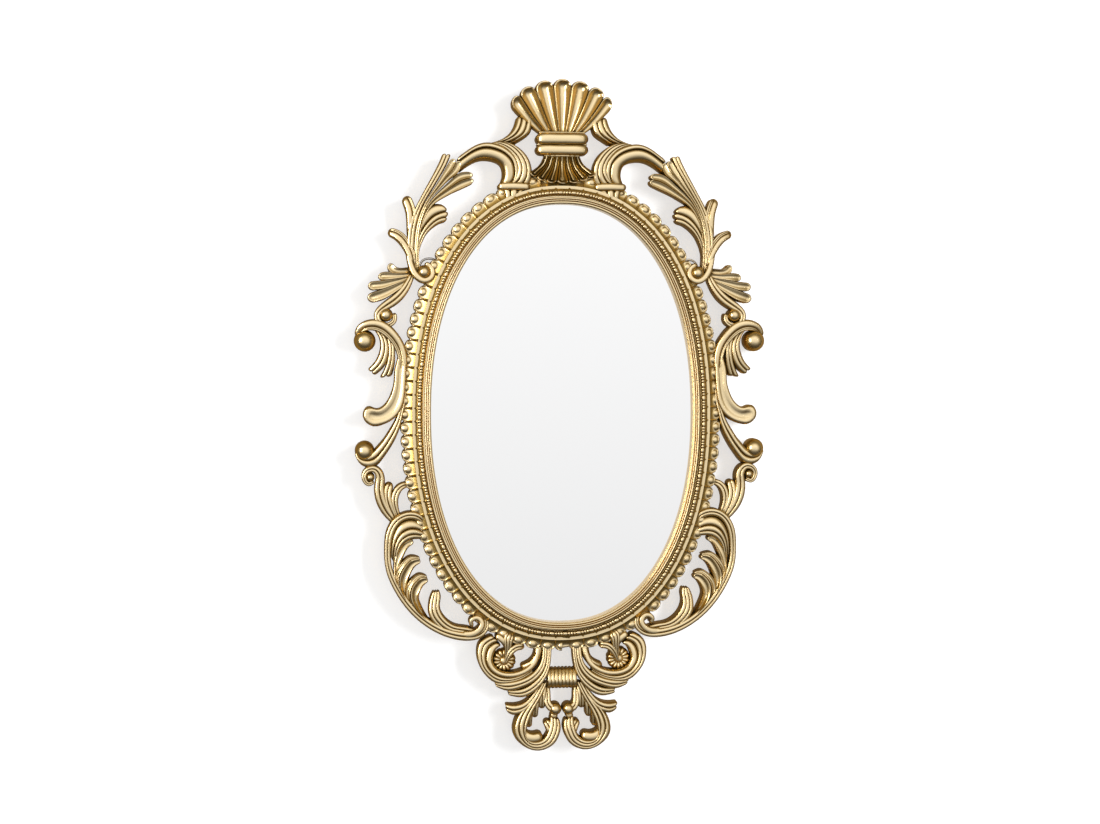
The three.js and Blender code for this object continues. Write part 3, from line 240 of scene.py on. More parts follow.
def grid_faces(rows, columns, wrap_rows, wrap_columns):
    """The quads of a grid of points in row order, joined up round either way where it wraps."""
    i = np.arange(rows if wrap_rows else rows - 1)[:, None]
    j = np.arange(columns if wrap_columns else columns - 1)[None, :]
    here, down = i * columns, (i + 1) % rows * columns
    right = (j + 1) % columns
    quads = np.stack([here + j, here + right, down + right, down + j], axis=-1)
    return quads.reshape(-1, 4)


def triangles_of(quads):
    """Each quad as two triangles."""
    return np.concatenate([quads[:, [0, 1, 2]], quads[:, [0, 2, 3]]])


def signed_volume(points, triangles):
    """The volume inside a closed mesh: a sixth of the sum of each triangle's triple product."""
    a, b, c = (points[triangles[:, k]] for k in range(3))
    return np.einsum("ij,ij->i", a, np.cross(b, c)).sum() / 6


def outward(points, triangles):
    """The triangles turned so that the mesh faces out."""
    return triangles if signed_volume(points, triangles) > 0 else triangles[:, ::-1]


def closed_grid(name, points, slot, body="root", smooth=45.0):
    """A piece from a grid of points that joins up both ways, an array of row by column by xyz."""
    rows, columns, _ = points.shape
    flat = points.reshape(-1, 3)
    faces = grid_faces(rows, columns, True, True)
    if signed_volume(flat, triangles_of(faces)) < 0:
        faces = faces[:, ::-1]
    return mesh_object(name, flat, faces, slot, body, smooth)


def once_round(count):
    """Angles at even steps once round."""
    return np.arange(count) * 2 * np.pi / count


def tube_skin(rings):
    """A closed solid from rings of points, an array of ring by point by xyz. Each end is a fan round the
    middle of its ring."""
    count, size, _ = rings.shape
    points = np.concatenate([rings.reshape(-1, 3), rings[0].mean(0)[None], rings[-1].mean(0)[None]])
    j = np.arange(size)
    k = (j + 1) % size
    first, last = count * size, count * size + 1
    start = np.stack([np.full(size, first), k, j], axis=-1)
    end = np.stack([np.full(size, last), (count - 1) * size + j, (count - 1) * size + k], axis=-1)
    triangles = np.concatenate([triangles_of(grid_faces(count, size, False, True)), start, end])
    return points, outward(points, triangles)


def loose_mesh(name, points, triangles):
    """A bare mesh of a solid, in metres."""
    mesh = bpy.data.meshes.new(name)
    mesh.from_pydata((points * MM).tolist(), [], triangles.tolist())
    return mesh


def fused(name, solids):
    """One mesh of several solids that overlap, joined by a boolean union."""
    scene = bpy.context.scene.collection.objects
    objects = []
    for points, triangles in solids:
        part = bpy.data.objects.new(name + "_part", loose_mesh(name + "_part", points, triangles))
        scene.link(part)
        objects.append(part)
    base = objects[0]
    for other in objects[1:]:
        join = base.modifiers.new("join", "BOOLEAN")
        join.operation = "UNION"
        join.solver = "MANIFOLD"
        join.object = other
    bpy.context.view_layer.update()
    mesh = bpy.data.meshes.new_from_object(base.evaluated_get(bpy.context.evaluated_depsgraph_get()))
    mesh.name = name
    for part in objects:
        bare = part.data
        bpy.data.objects.remove(part)
        bpy.data.meshes.remove(bare)
    return mesh


def mirrored_mesh(name, mesh):
    """A mesh's mirror image in the plane x = 0, with its faces turned back out."""
    copy = mesh.copy()
    copy.name = name
    co = np.empty(len(copy.vertices) * 3, np.float32)
    copy.vertices.foreach_get("co", co)
    co[::3] *= -1
    copy.vertices.foreach_set("co", co)
    copy.flip_normals()
    return copy


# ---------------------------------------------------------------- the oval


def oval(turn):
    """Points of the sight line and its outward directions at turns from 0 to 1, from the bottom up the
    right-hand side: x and z are the half sizes times the cosine and sine to the power 2 / squareness, and
    outwards is the slope of |x/a|^n + |z/b|^n."""
    angle = 2 * np.pi * np.asarray(turn, float) - np.pi / 2
    cos, sin = np.cos(angle), np.sin(angle)
    power = 2 / SQUARENESS
    x = SIGHT_HALF_WIDTH * np.sign(cos) * np.abs(cos) ** power
    z = SIGHT_HALF_HEIGHT * np.sign(sin) * np.abs(sin) ** power
    steep = SQUARENESS - 1
    nx = np.sign(cos) * np.abs(x / SIGHT_HALF_WIDTH) ** steep / SIGHT_HALF_WIDTH
    nz = np.sign(sin) * np.abs(z / SIGHT_HALF_HEIGHT) ** steep / SIGHT_HALF_HEIGHT
    size = np.hypot(nx, nz)
    return x, z, nx / size, nz / size


def even_oval(shares):
    """The oval at shares of its length, read off a fine polyline."""
    fine = np.linspace(0, 1, OVAL_STEPS + 1)
    x, z, _, _ = oval(fine)
    reach = np.concatenate([[0], np.cumsum(np.hypot(np.diff(x), np.diff(z)))])
    return oval(np.interp(np.asarray(shares) * reach[-1], reach, fine))


def out_from(place, distance, height):
    """Points at distances outwards from the oval and at heights. Place is what oval returns."""
    x, z, nx, nz = place
    shape = np.broadcast(x, distance).shape
    y = -np.broadcast_to(height, shape)
    return np.stack([x + nx * distance, y, z + nz * distance], axis=-1)


def arc(centre, radius, start, end, count):
    """Points on an arc, with its angles in degrees from straight outwards."""
    angle = np.radians(np.linspace(start, end, count))
    return np.stack([centre[0] + radius * np.cos(angle), centre[1] + radius * np.sin(angle)], axis=-1)


def ridge(middle, half, top, depth):
    """A ridge's profile, rounded over to its two sides."""
    u = np.linspace(-1, 1, 15)
    return np.stack([middle + half * u, top - depth * rounded(u)], axis=-1)


# ---------------------------------------------------------------- strokes of carving


def natural_spline(points):
    """A natural cubic spline through rows of points, by the distance between their first two columns. Returns
    its length and a function that gives the rows at distances along it."""
    rows = np.asarray(points, float)
    reach = np.concatenate([[0], np.cumsum(np.hypot(*np.diff(rows[:, :2], axis=0).T))])
    gap = np.diff(reach)
    bend = np.zeros_like(rows)
    if len(rows) > 2:
        middle = np.diag(2 * (gap[:-1] + gap[1:]))
        system = middle + np.diag(gap[1:-1], 1) + np.diag(gap[1:-1], -1)
        slope = np.diff(rows, axis=0) / gap[:, None]
        bend[1:-1] = np.linalg.solve(system, 6 * np.diff(slope, axis=0))

    def rows_at(at):
        k = np.clip(np.searchsorted(reach, at, side="right") - 1, 0, len(rows) - 2)
        b = (at - reach[k]) / gap[k]
        a = 1 - b
        curve = (a**3 - a)[:, None] * bend[k] + (b**3 - b)[:, None] * bend[k + 1]
        return a[:, None] * rows[k] + b[:, None] * rows[k + 1] + curve * gap[k, None] ** 2 / 6

    return reach[-1], rows_at


def smooth_line(points, count):
    """Count points at even steps along a natural cubic spline through a row of points."""
    total, rows_at = natural_spline(points)
    return rows_at(np.linspace(0, total, count))


RIB_POINTS = 9

# Each section's dome, and what lies across a stroke from its left edge, at -1, to its right edge, at 1:
# stretches that are ribs, which stand round, or hollows, with each one's depth as a share of its half width.
SECTIONS = {
    "round": (0.0, [(-1, 1, "rib", 0.85)]),
    "twin": (0.3, [(-1, 0, "rib", 0.9), (0, 1, "rib", 0.9)]),
    "triple": (0.35, [(-1, -0.36, "rib", 0.9), (-0.36, 0.36, "rib", 0.8), (0.36, 1, "rib", 0.9)]),
    "rim_left": (0.2, [(-1, -0.6, "rib", 1), (-0.6, -0.3, "hollow", 0.7), (-0.3, 1, "rib", 0.75)]),
}


def across(section, depth):
    """The places across a stroke and how far its top lies below its crest there, both as shares of its half
    width. With v from -1 to 1 over a stretch of half width b, a rib falls by 0.8 b * depth * rounded(v) and a
    hollow by b * depth * sqrt(1 - v^2). The dome lowers the whole towards its edges."""
    dome, stretches = SECTIONS[section]
    places, drops = [], []
    turn = np.linspace(-np.pi / 2, np.pi / 2, RIB_POINTS)
    v = np.sin(turn)
    for low, high, kind, share in stretches:
        b = (high - low) / 2
        places.append((low + high) / 2 + b * v)
        drops.append(b * share * depth * (0.8 * rounded(v) if kind == "rib" else np.cos(turn)))
    u = np.concatenate(places)
    f = np.concatenate(drops)
    keep = np.concatenate([[True], np.diff(u) > 1e-4])
    u, f = u[keep], f[keep]
    return u, f + dome * (1 - np.sqrt(np.clip(1 - u**2, 0, 1)))


def stroke(points, section="round"):
    """A stroke of carving, from rows of x, z, width and height of its crest: its section is carried along a
    spline through the rows, and at both ends its half width shrinks as the rim of a circle does. Its sides
    go straight back to the flat of the casting."""
    total, rows_at = natural_spline(points)
    start, end = points[0][2] / 2, points[-1][2] / 2
    nose = 1 - np.cos(np.linspace(0, np.pi / 2, NOSE_STEPS))
    inner = np.arange(start * nose[-1], total - end * nose[-1], STROKE_STEP)[1:]
    at = np.unique(np.concatenate([start * nose, inner, total - end * nose[::-1]]).round(4))
    at = at[(at >= 0) & (at <= total)]
    x, z, width, height = rows_at(at).T
    u, drop = across(section, bpy.context.scene.mirror_sizes.groove_depth)
    tx, tz = np.gradient(x, at), np.gradient(z, at)
    size = np.hypot(tx, tz)
    tx, tz = tx / size, tz / size
    to_end = np.minimum(np.clip(at / start, 0, 1), np.clip((total - at) / end, 0, 1))
    bow = np.sqrt(1 - (1 - to_end) ** 2)
    reach = np.where(at < total / 2, start, end)
    half = np.maximum(width / 2 * bow, LEAST_HALF)
    top = (height - NOSE_FALL * reach * (1 - bow))[:, None] - drop[None, :] * half[:, None]
    top = np.maximum(top, CASTING_BACK + LEAST_HEIGHT)
    left = top[:, :1] + (CASTING_BACK - top[:, :1]) * WALL_ROWS[::-1]
    right = top[:, -1:] + (CASTING_BACK - top[:, -1:]) * WALL_ROWS
    level = np.concatenate([left, top, right], axis=1)
    side = np.concatenate([np.full(3, -1.0), u, np.full(3, 1.0)])
    across_x, across_z = (tz * half)[:, None] * side, (tx * half)[:, None] * side
    return tube_skin(np.stack([x[:, None] + across_x, -level, z[:, None] - across_z], axis=-1))


def rounded(part):
    """How far a rib has fallen, of 1, at a share of the way to its edge: 1 - (1 - p^2.5)^(1/2.5)."""
    return 1 - np.clip(1 - np.abs(part) ** 2.5, 0, 1) ** 0.4


def relief(kind, arch, rim):
    """How far a rib's top lies below its crest, as a share of its half width, at a share of the way from its
    middle to its outline. A rib is round, and a spoon is hollow inside a rounded rim."""
    if kind == "rib":
        return 0.7 * rounded(arch)
    hollow = 0.5 * np.cos(np.clip(arch / (1 - 2 * rim), 0, 1) * np.pi / 2) ** 0.8
    edge = 0.5 * (1 - np.sqrt(np.clip(1 - ((arch - 1 + rim) / rim) ** 2, 0, 1)))
    return np.where(arch < 1 - 2 * rim, hollow, np.where(arch < 1 - rim, 0, edge))


def plate_skin(top, floor):
    """A closed solid between two like grids of points, an array of row by column by xyz each."""
    rows, columns, _ = top.shape
    rings = np.concatenate([top, floor[:, ::-1]], axis=1)
    size = 2 * columns
    j = np.arange(columns - 1)
    end = np.stack([j, j + 1, size - 2 - j, size - 1 - j], axis=-1)
    faces = [grid_faces(rows, size, False, True), end[:, ::-1], end + (rows - 1) * size]
    triangles = triangles_of(np.concatenate(faces))
    points = rings.reshape(-1, 3)
    return points, outward(points, triangles)


def fan(lines, heights, kind="rib", reach=None, dome=0.35, bulge=0.0, rim=0.16, carve=1.0):
    """A fan of ribs between lines that run from its root to its tips, one rib between each two neighbours.
    Across a rib the place is worked out in equal shares between its two lines. Each rib ends in a half
    ellipse: its outline's share of the way along is 1 - t + t * sqrt(1 - p^2), with p from -1 to 1 across it
    and t the tip's share of the length. With reach the tips stand that far past the lines' ends. The crest
    height follows the row given, and falls towards the fan's edges by dome times its half width."""
    ribs = len(lines) - 1
    spans = [np.hypot(*np.diff(np.asarray(line, float), axis=0).T).sum() for line in lines]
    length = np.mean(spans)
    count = max(int(max(spans)) + 1, FEWEST_ROWS)
    grid = np.linspace(0, 1, count)
    sampled = np.stack([smooth_line(line, count) for line in lines])
    wide = np.hypot(*np.moveaxis(np.diff(sampled, axis=0), -1, 0))
    if reach is None:
        tip = float(np.clip(wide[:, int(NEAR_TIP * count)].mean() / 2 / length, *TIP_SHARES))
        scale = 1.0
    else:
        tip = reach / (length + reach)
        scale = 1 / (1 - tip)

    phase = np.append(np.tile(np.sin(np.linspace(-np.pi / 2, np.pi / 2, RIB_STEPS + 1))[:-1], ribs), 1.0)
    rib = np.append(np.repeat(np.arange(ribs), RIB_STEPS), ribs - 1)
    u = 2 * (rib + (phase + 1) / 2) / ribs - 1
    fine = 1 - tip * (1 - np.sin(np.linspace(0, np.pi / 2, TIP_ROWS)))
    v = np.unique(np.concatenate([grid[grid < 1 - tip], fine]).round(5))[:, None]
    bow = np.sqrt(np.clip(1 - phase**2, 0, 1))
    end = 1 - bulge * u**2
    along = v * (1 - tip * (1 - bow)) * end
    near = np.clip((along / end - 1 + tip) / tip, 0, 1)
    arch = np.clip(np.sqrt(phase**2 + near**2), 0, 1)

    at = along * scale
    past = np.clip(at - 1, 0, None)
    share = (phase + 1) / 2
    columns = np.arange(len(u))
    place = []
    for axis in (0, 1):
        edge = []
        for line in sampled[:, :, axis]:
            edge.append(np.interp(at, grid, line) + past * (line[-1] - line[-3]) * (count - 1) / 2)
        edge = np.moveaxis(np.array(edge), 0, -1)
        place.append(edge[:, columns, rib] * (1 - share) + edge[:, columns, rib + 1] * share)
    half = np.array([np.interp(at[:, j], grid, wide[rib[j]]) for j in range(len(u))]).T / 2
    knots = np.linspace(0, 1, len(heights))
    crest = smooth_line(np.stack([knots, 0 * knots, heights], axis=-1), 200)[:, 2]
    crest = np.interp(along, np.linspace(0, 1, 200), crest)
    depth = bpy.context.scene.mirror_sizes.groove_depth
    low = dome * half * ribs * (1 - np.sqrt(np.clip(1 - u**2, 0, 1)))
    level = crest - carve * depth * half * relief(kind, arch, rim) - low
    level = np.maximum(level, CASTING_BACK + LEAST_HEIGHT)
    top = np.stack([place[0], -level, place[1]], axis=-1)
    floor = np.stack([place[0], np.full_like(level, -CASTING_BACK), place[1]], axis=-1)
    return plate_skin(top, floor)


def leaf(left, right, heights, ribs=2, **shape):
    """A fan between two edges, of a number of equal ribs or of ribs that end at the shares given."""
    one, two = smooth_line(left, EDGE_POINTS), smooth_line(right, EDGE_POINTS)
    cuts = np.linspace(0, 1, ribs + 1) if isinstance(ribs, int) else ribs
    return fan([one * (1 - cut) + two * cut for cut in cuts], heights, **shape)


def leaves(rows):
    """Leaves and strokes of one casting: a leaf's row is its two edges, heights and the rest of its shape, and
    a stroke's is its line and section."""
    solids = []
    for row in rows:
        if isinstance(row[1], str):
            solids.append(stroke(*row))
        else:
            left, right, heights, *shape = row
            solids.append(leaf(left, right, heights, **(shape[0] if shape else {})))
    return solids


def ball(x, z, radius, height, sides=48):
    """A half ball on an upright wall: height is that of its top."""
    turn = np.linspace(0, np.pi / 2, 14)[1:]
    r = np.concatenate([radius * np.sin(turn), [radius, radius]])
    foot = [(height - radius + CASTING_BACK) / 2, CASTING_BACK]
    h = np.concatenate([height - radius * (1 - np.cos(turn)), foot])
    return turned_solid(np.stack([r, h], axis=-1), x, z, sides)


def turned_solid(profile, x, z, sides=40):
    """A solid turned about an axis square to the wall: profile is rows of radius and height."""
    r, h = np.asarray(profile, float).T
    return turned_rings(np.maximum(r, 0.02)[:, None], h[:, None], x, z, once_round(sides))


def turned_rings(reach, level, x, z, angle):
    """A closed solid round an axis square to the wall, from each ring's radius and height at each angle."""
    shape = np.broadcast(reach, level, angle).shape
    rings = [x + reach * np.cos(angle), np.broadcast_to(-level, shape), z + reach * np.sin(angle)]
    return tube_skin(np.stack(rings, axis=-1))


# ---------------------------------------------------------------- finishes


def new_group(name, inputs, outputs):
    """An empty shader node group with named sockets, and its two end nodes."""
    group = bpy.data.node_groups.new(name, "ShaderNodeTree")
    for socket, kind, value in inputs:
        made = group.interface.new_socket(socket, in_out="INPUT", socket_type=kind)
        made.default_value = value
    for socket, kind in outputs:
        group.interface.new_socket(socket, in_out="OUTPUT", socket_type=kind)
    return group, group.nodes.new("NodeGroupInput"), group.nodes.new("NodeGroupOutput")


def feed(tree, socket, value):
    """Gives a node's input a number, a colour or what another node puts out."""
    if isinstance(value, bpy.types.NodeSocket):
        tree.links.new(value, socket)
    else:
        socket.default_value = (*value, 1) if isinstance(value, tuple) else value


def math(tree, operation, *values, clamp=False):
    """A Math node whose inputs are numbers or sockets."""
    node = tree.nodes.new("ShaderNodeMath")
    node.operation = operation
    node.use_clamp = clamp
    for socket, value in zip(node.inputs, values):
        feed(tree, socket, value)
    return node.outputs[0]


def map_range(tree, value, low, high, to_low=0.0, to_high=1.0, kind="LINEAR"):
    """A Map Range node from one stretch of numbers to another, clamped to it."""
    node = tree.nodes.new("ShaderNodeMapRange")
    node.interpolation_type = kind
    names = ("Value", "From Min", "From Max", "To Min", "To Max")
    for name, given in zip(names, (value, low, high, to_low, to_high)):
        feed(tree, node.inputs[name], given)
    return node.outputs["Result"]


def mix_colour(tree, share, first, second):
    """A colour between two, by a share."""
    node = tree.nodes.new("ShaderNodeMix")
    node.data_type = "RGBA"
    for socket, value in ((node.inputs[0], share), (node.inputs[6], first), (node.inputs[7], second)):
        feed(tree, socket, value)
    return node.outputs[2]


def object_noise(tree, scale, detail=3.0, roughness=0.55, stretch=(1, 1, 1)):
    """Noise on the object's own coordinates."""
    place = tree.nodes.new("ShaderNodeTexCoord")
    mapping = tree.nodes.new("ShaderNodeMapping")
    mapping.inputs["Scale"].default_value = stretch
    noise = tree.nodes.new("ShaderNodeTexNoise")
    noise.inputs["Scale"].default_value = scale
    noise.inputs["Detail"].default_value = detail
    noise.inputs["Roughness"].default_value = roughness
    tree.links.new(place.outputs["Object"], mapping.inputs["Vector"])
    tree.links.new(mapping.outputs["Vector"], noise.inputs["Vector"])
    return noise.outputs["Fac"]


def facing_shade_group():
    """A mask for painted shade by facing: the share is 1 where the surface faces the viewer's side
    and falls to 0 on side walls and behind, where the colour is darkened to stand in for shade."""
    group, start, end = new_group(
        "front_facing_shade",
        [("Reach", "NodeSocketFloat", 0.35), ("Softness", "NodeSocketFloat", 0.5)],
        [("Share", "NodeSocketFloat")],
    )
    geometry = group.nodes.new("ShaderNodeNewGeometry")
    split = group.nodes.new("ShaderNodeSeparateXYZ")
    group.links.new(geometry.outputs["Normal"], split.inputs[0])
    facing = math(group, "MULTIPLY", split.outputs["Y"], -1.0)
    low = math(group, "SUBTRACT", start.outputs["Reach"], start.outputs["Softness"])
    high = math(group, "ADD", start.outputs["Reach"], start.outputs["Softness"])
    share = map_range(group, facing, low, high, kind="SMOOTHSTEP")
    group.links.new(share, end.inputs["Share"])
    return group


def crevice_group():
    """How open the surface is to its surroundings, a mask for painted shade: the share is 1 in the open and
    falls to 0 deep in a groove or between two forms, where the colour is darkened to stand in for shade."""
    group, start, end = new_group(
        "crevice",
        [("Distance", "NodeSocketFloat", 0.006), ("Depth", "NodeSocketFloat", 1.0)],
        [("Share", "NodeSocketFloat")],
    )
    open_air = group.nodes.new("ShaderNodeAmbientOcclusion")
    open_air.samples = 6
    group.links.new(start.outputs["Distance"], open_air.inputs["Distance"])
    openness = map_range(group, open_air.outputs["AO"], 0.3, 0.9)
    group.links.new(math(group, "POWER", openness, start.outputs["Depth"]), end.inputs["Share"])
    return group


def grain_group():
    """Fine surface grain: a height for a bump and a mask of slow cloudiness, both about a half."""
    group, start, end = new_group(
        "fine_grain",
        [("Scale", "NodeSocketFloat", 900.0), ("Cloud Scale", "NodeSocketFloat", 18.0)],
        [("Height", "NodeSocketFloat"), ("Cloud", "NodeSocketFloat")],
    )
    place = group.nodes.new("ShaderNodeTexCoord")
    for scale, output in (("Scale", "Height"), ("Cloud Scale", "Cloud")):
        noise = group.nodes.new("ShaderNodeTexNoise")
        noise.inputs["Detail"].default_value = 3.0
        group.links.new(place.outputs["Object"], noise.inputs["Vector"])
        group.links.new(start.outputs[scale], noise.inputs["Scale"])
        group.links.new(noise.outputs["Fac"], end.inputs[output])
    return group


def new_material(name, metallic, roughness):
    """A material with its Principled shader and node tree."""
    material = bpy.data.materials.new(name)
    material.use_nodes = True
    tree = material.node_tree
    shader = tree.nodes["Principled BSDF"]
    shader.inputs["Metallic"].default_value = metallic
    shader.inputs["Roughness"].default_value = roughness
    return material, tree, shader


def use_group(tree, group, **values):
    """A group's node in a material, with its inputs set."""
    node = tree.nodes.new("ShaderNodeGroup")
    node.node_tree = group
    for socket, value in values.items():
        node.inputs[socket.replace("_", " ")].default_value = value
    return node


def bump(tree, shader, height, strength, distance):
    """A bump on the shader's normal."""
    node = tree.nodes.new("ShaderNodeBump")
    node.inputs["Strength"].default_value = strength
    node.inputs["Distance"].default_value = distance
    tree.links.new(height, node.inputs["Height"])
    tree.links.new(node.outputs["Normal"], shader.inputs["Normal"])


def make_gold(name, groups, roughness, tone=1.0, shade=1.0):
    """Metallic gold lacquer, slightly cloudy, with painted light and shade in its colour: bright where the
    surface faces the front, a darker shaded gold on side walls, in grooves and where a mesh's hollow attribute
    says so, and near black deep in grooves, all painted shade; it is also duller in grooves. Tone brightens
    the bright colour, a painted highlight, and shade sets how strongly the grooves are darkened."""
    finish = bpy.context.scene.mirror_finish
    material, tree, shader = new_material(name, 0.95, roughness)
    # Painted shade by facing: surfaces turned away from the front take the shaded colour.
    spray = use_group(tree, groups["spray"], Reach=0.78, Softness=0.24)
    # Painted shade in grooves and between forms, from an occlusion mask.
    crevice = use_group(tree, groups["crevice"], Distance=0.004, Depth=shade)
    grain = use_group(tree, groups["grain"], Scale=1500.0, Cloud_Scale=22.0)
    cloud = math(tree, "MULTIPLY_ADD", grain.outputs["Cloud"], 0.3, 0.85)
    share = math(tree, "MULTIPLY", spray.outputs["Share"], cloud, clamp=True)
    share = math(tree, "MULTIPLY", share, crevice.outputs["Share"], clamp=True)
    # Painted shade in the rail's cove, where the mesh's hollow attribute is set.
    hollow = tree.nodes.new("ShaderNodeAttribute")
    hollow.attribute_name = "hollow"
    share = math(tree, "MULTIPLY", share, math(tree, "MULTIPLY_ADD", hollow.outputs["Fac"], -0.8, 1.0))
    bright = tuple(min(1.0, part * tone) for part in finish.gold)
    lit = mix_colour(tree, share, tuple(finish.shaded_gold), bright)
    # Near-black painted shade deep in grooves.
    deep = tuple(part * 0.18 for part in finish.shaded_gold)
    tree.links.new(mix_colour(tree, crevice.outputs["Share"], deep, lit), shader.inputs["Base Color"])
    dull = math(tree, "MULTIPLY_ADD", crevice.outputs["Share"], -0.2, 0.2)
    rough = math(tree, "MULTIPLY_ADD", grain.outputs["Cloud"], 0.1, roughness - 0.05)
    tree.links.new(math(tree, "ADD", rough, dull), shader.inputs["Roughness"])
    bump(tree, shader, grain.outputs["Height"], 0.06, 0.0002)
    shader.inputs["Coat Weight"].default_value = 0.2
    shader.inputs["Coat Roughness"].default_value = 0.2
    return material


def make_glass():
    """Silvered glass: a bright mirror with the faintest cool tint."""
    material, tree, shader = new_material("silvered_glass", 1.0, 0.015)
    cloud = object_noise(tree, 7.0, detail=1.0)
    tint = mix_colour(tree, cloud, (0.955, 0.955, 0.96), (0.965, 0.965, 0.965))
    tree.links.new(tint, shader.inputs["Base Color"])
    return material


def make_board():
    """Pressed fibre board: short pale and dark fibres on brown."""
    finish = bpy.context.scene.mirror_finish
    material, tree, shader = new_material("hardboard", 0.0, 0.72)
    fibres = object_noise(tree, 260.0, detail=4.0, stretch=(1, 1, 3))
    specks = object_noise(tree, 900.0, detail=2.0)
    tone = math(tree, "MULTIPLY_ADD", fibres, 0.8, -0.1, clamp=True)
    dark = tuple(part * 0.55 for part in finish.board)
    pale = tuple(min(1.0, part * 1.5) for part in finish.board)
    tree.links.new(mix_colour(tree, tone, dark, pale), shader.inputs["Base Color"])
    bump(tree, shader, specks, 0.25, 0.0002)
    return material


def make_card():
    """Corrugated card: faint flutes across it."""
    material, tree, shader = new_material("cardboard", 0.0, 0.9)
    place = tree.nodes.new("ShaderNodeTexCoord")
    wave = tree.nodes.new("ShaderNodeTexWave")
    wave.inputs["Scale"].default_value = 60.0
    tree.links.new(place.outputs["Object"], wave.inputs["Vector"])
    colour = mix_colour(tree, wave.outputs["Fac"], (0.42, 0.29, 0.16), (0.50, 0.36, 0.21))
    tree.links.new(colour, shader.inputs["Base Color"])
    bump(tree, shader, wave.outputs["Fac"], 0.4, 0.0004)
    return material


def make_zinc(groups):
    """Bright zinc plate with its faint spangle."""
    material, tree, shader = new_material("zinc", 1.0, 0.32)
    grain = use_group(tree, groups["grain"], Scale=2400.0, Cloud_Scale=160.0)
    colour = mix_colour(tree, grain.outputs["Cloud"], (0.55, 0.56, 0.58), (0.78, 0.79, 0.80))
    tree.links.new(colour, shader.inputs["Base Color"])
    rough = math(tree, "MULTIPLY_ADD", grain.outputs["Cloud"], 0.25, 0.18)
    tree.links.new(rough, shader.inputs["Roughness"])
    bump(tree, shader, grain.outputs["Height"], 0.08, 0.0001)
    return material


def make_rubber(groups):
    """Matt black rubber."""
    material, tree, shader = new_material("rubber", 0.0, 0.75)
    grain = use_group(tree, groups["grain"], Scale=1800.0, Cloud_Scale=90.0)
    colour = mix_colour(tree, grain.outputs["Cloud"], (0.016, 0.016, 0.017), (0.035, 0.034, 0.033))
    tree.links.new(colour, shader.inputs["Base Color"])
    bump(tree, shader, grain.outputs["Height"], 0.3, 0.0002)
    return material


materials = {}


def make_materials():
    """Every finish, once."""
    groups = {"spray": facing_shade_group(), "crevice": crevice_group(), "grain": grain_group()}
    materials["gilding"] = make_gold("gilding", groups, 0.27)
    # The slip's gilding is a copy 6% brighter, painted light on its ridges, with no painted shade in its
    # grooves.
    materials["slip_gilding"] = make_gold("slip_gilding", groups, 0.2, tone=1.06, shade=0.0)
    materials["silvered_glass"] = make_glass()
    materials["hardboard"] = make_board()
    materials["cardboard"] = make_card()
    materials["zinc"] = make_zinc(groups)
    materials["rubber"] = make_rubber(groups)


# ---------------------------------------------------------------- rail, beads, slip and glass

BAND_TOP = RAIL_TOP - 2.4
BEAD_LINE = 4.2  # middle of the bead row, outwards from the sight line
BEAD_LIFT = 0.4  # of that middle above the band
BEAD_LENGTHS = np.array([5.6, 3.0, 3.0, 3.0])  # in any unit: a long bead and three short ones for each egg
BEAD_WIDTHS = np.array([1.0, 0.94, 0.94, 0.94])
BEAD_WAIST = 0.66  # of a bead's radius, between two beads
BEAD_SIDES = 12

LIP_OUT = 0.7  # the rail's inner edge, outwards from the sight line
LIP_HEIGHT = 2.7  # its underside above the slip's back
REBATE_OUT = 12.0
COVE_FROM = 6.2
COVE_BEND = 2.1  # power by which the cove falls: more is more hollow
TIP_TOP = 18.6  # height of the eggs' tips
EGG_ROOT = 13.0  # where the arch of an egg's rim springs from
EGG_TIP = 25.4
EGG_ARCH_HALF = 9.6
ARCH_POWER = 2.4
RIM_ARCH, RIM_SPREAD = 0.93, 0.06  # where the rim stands, as a share of the arch, and how far it spreads
RIM_FROM, RIM_FADE = 11.0, 6.0  # the rim rises out of the cove from here over this length
ROLL_ARCH, ROLL_DEPTH = 0.96, 1.4  # from this share of the arch the edge rolls over, this far
EGG_MIDDLE = 20.6
EGG_HALF = 4.6
EGG_LENGTH = 4.0
DART_RISE = 1.2
DART_WIDTH = 0.8
DART_END = 21
BOTTOM_PITCH = 1.085  # width of the rail's pitch at the eggs, for one along the sight line
BAND_ROWS = 27
COVE_SHADE_END, COVE_SHADE_FADE = 18.0, 2.6  # the painted shade in the cove ends here, after fading over this length


def egg_reach(across_mm):
    """How far out the rail's edge lies at a distance to the side of an egg's middle: the arch
    (side / half)^2.4 + (out / length)^2.4 = 1."""
    inside = 1 - np.clip(np.abs(across_mm) / EGG_ARCH_HALF, 0, 1) ** ARCH_POWER
    return EGG_ROOT + (EGG_TIP - EGG_ROOT) * inside ** (1 / ARCH_POWER)


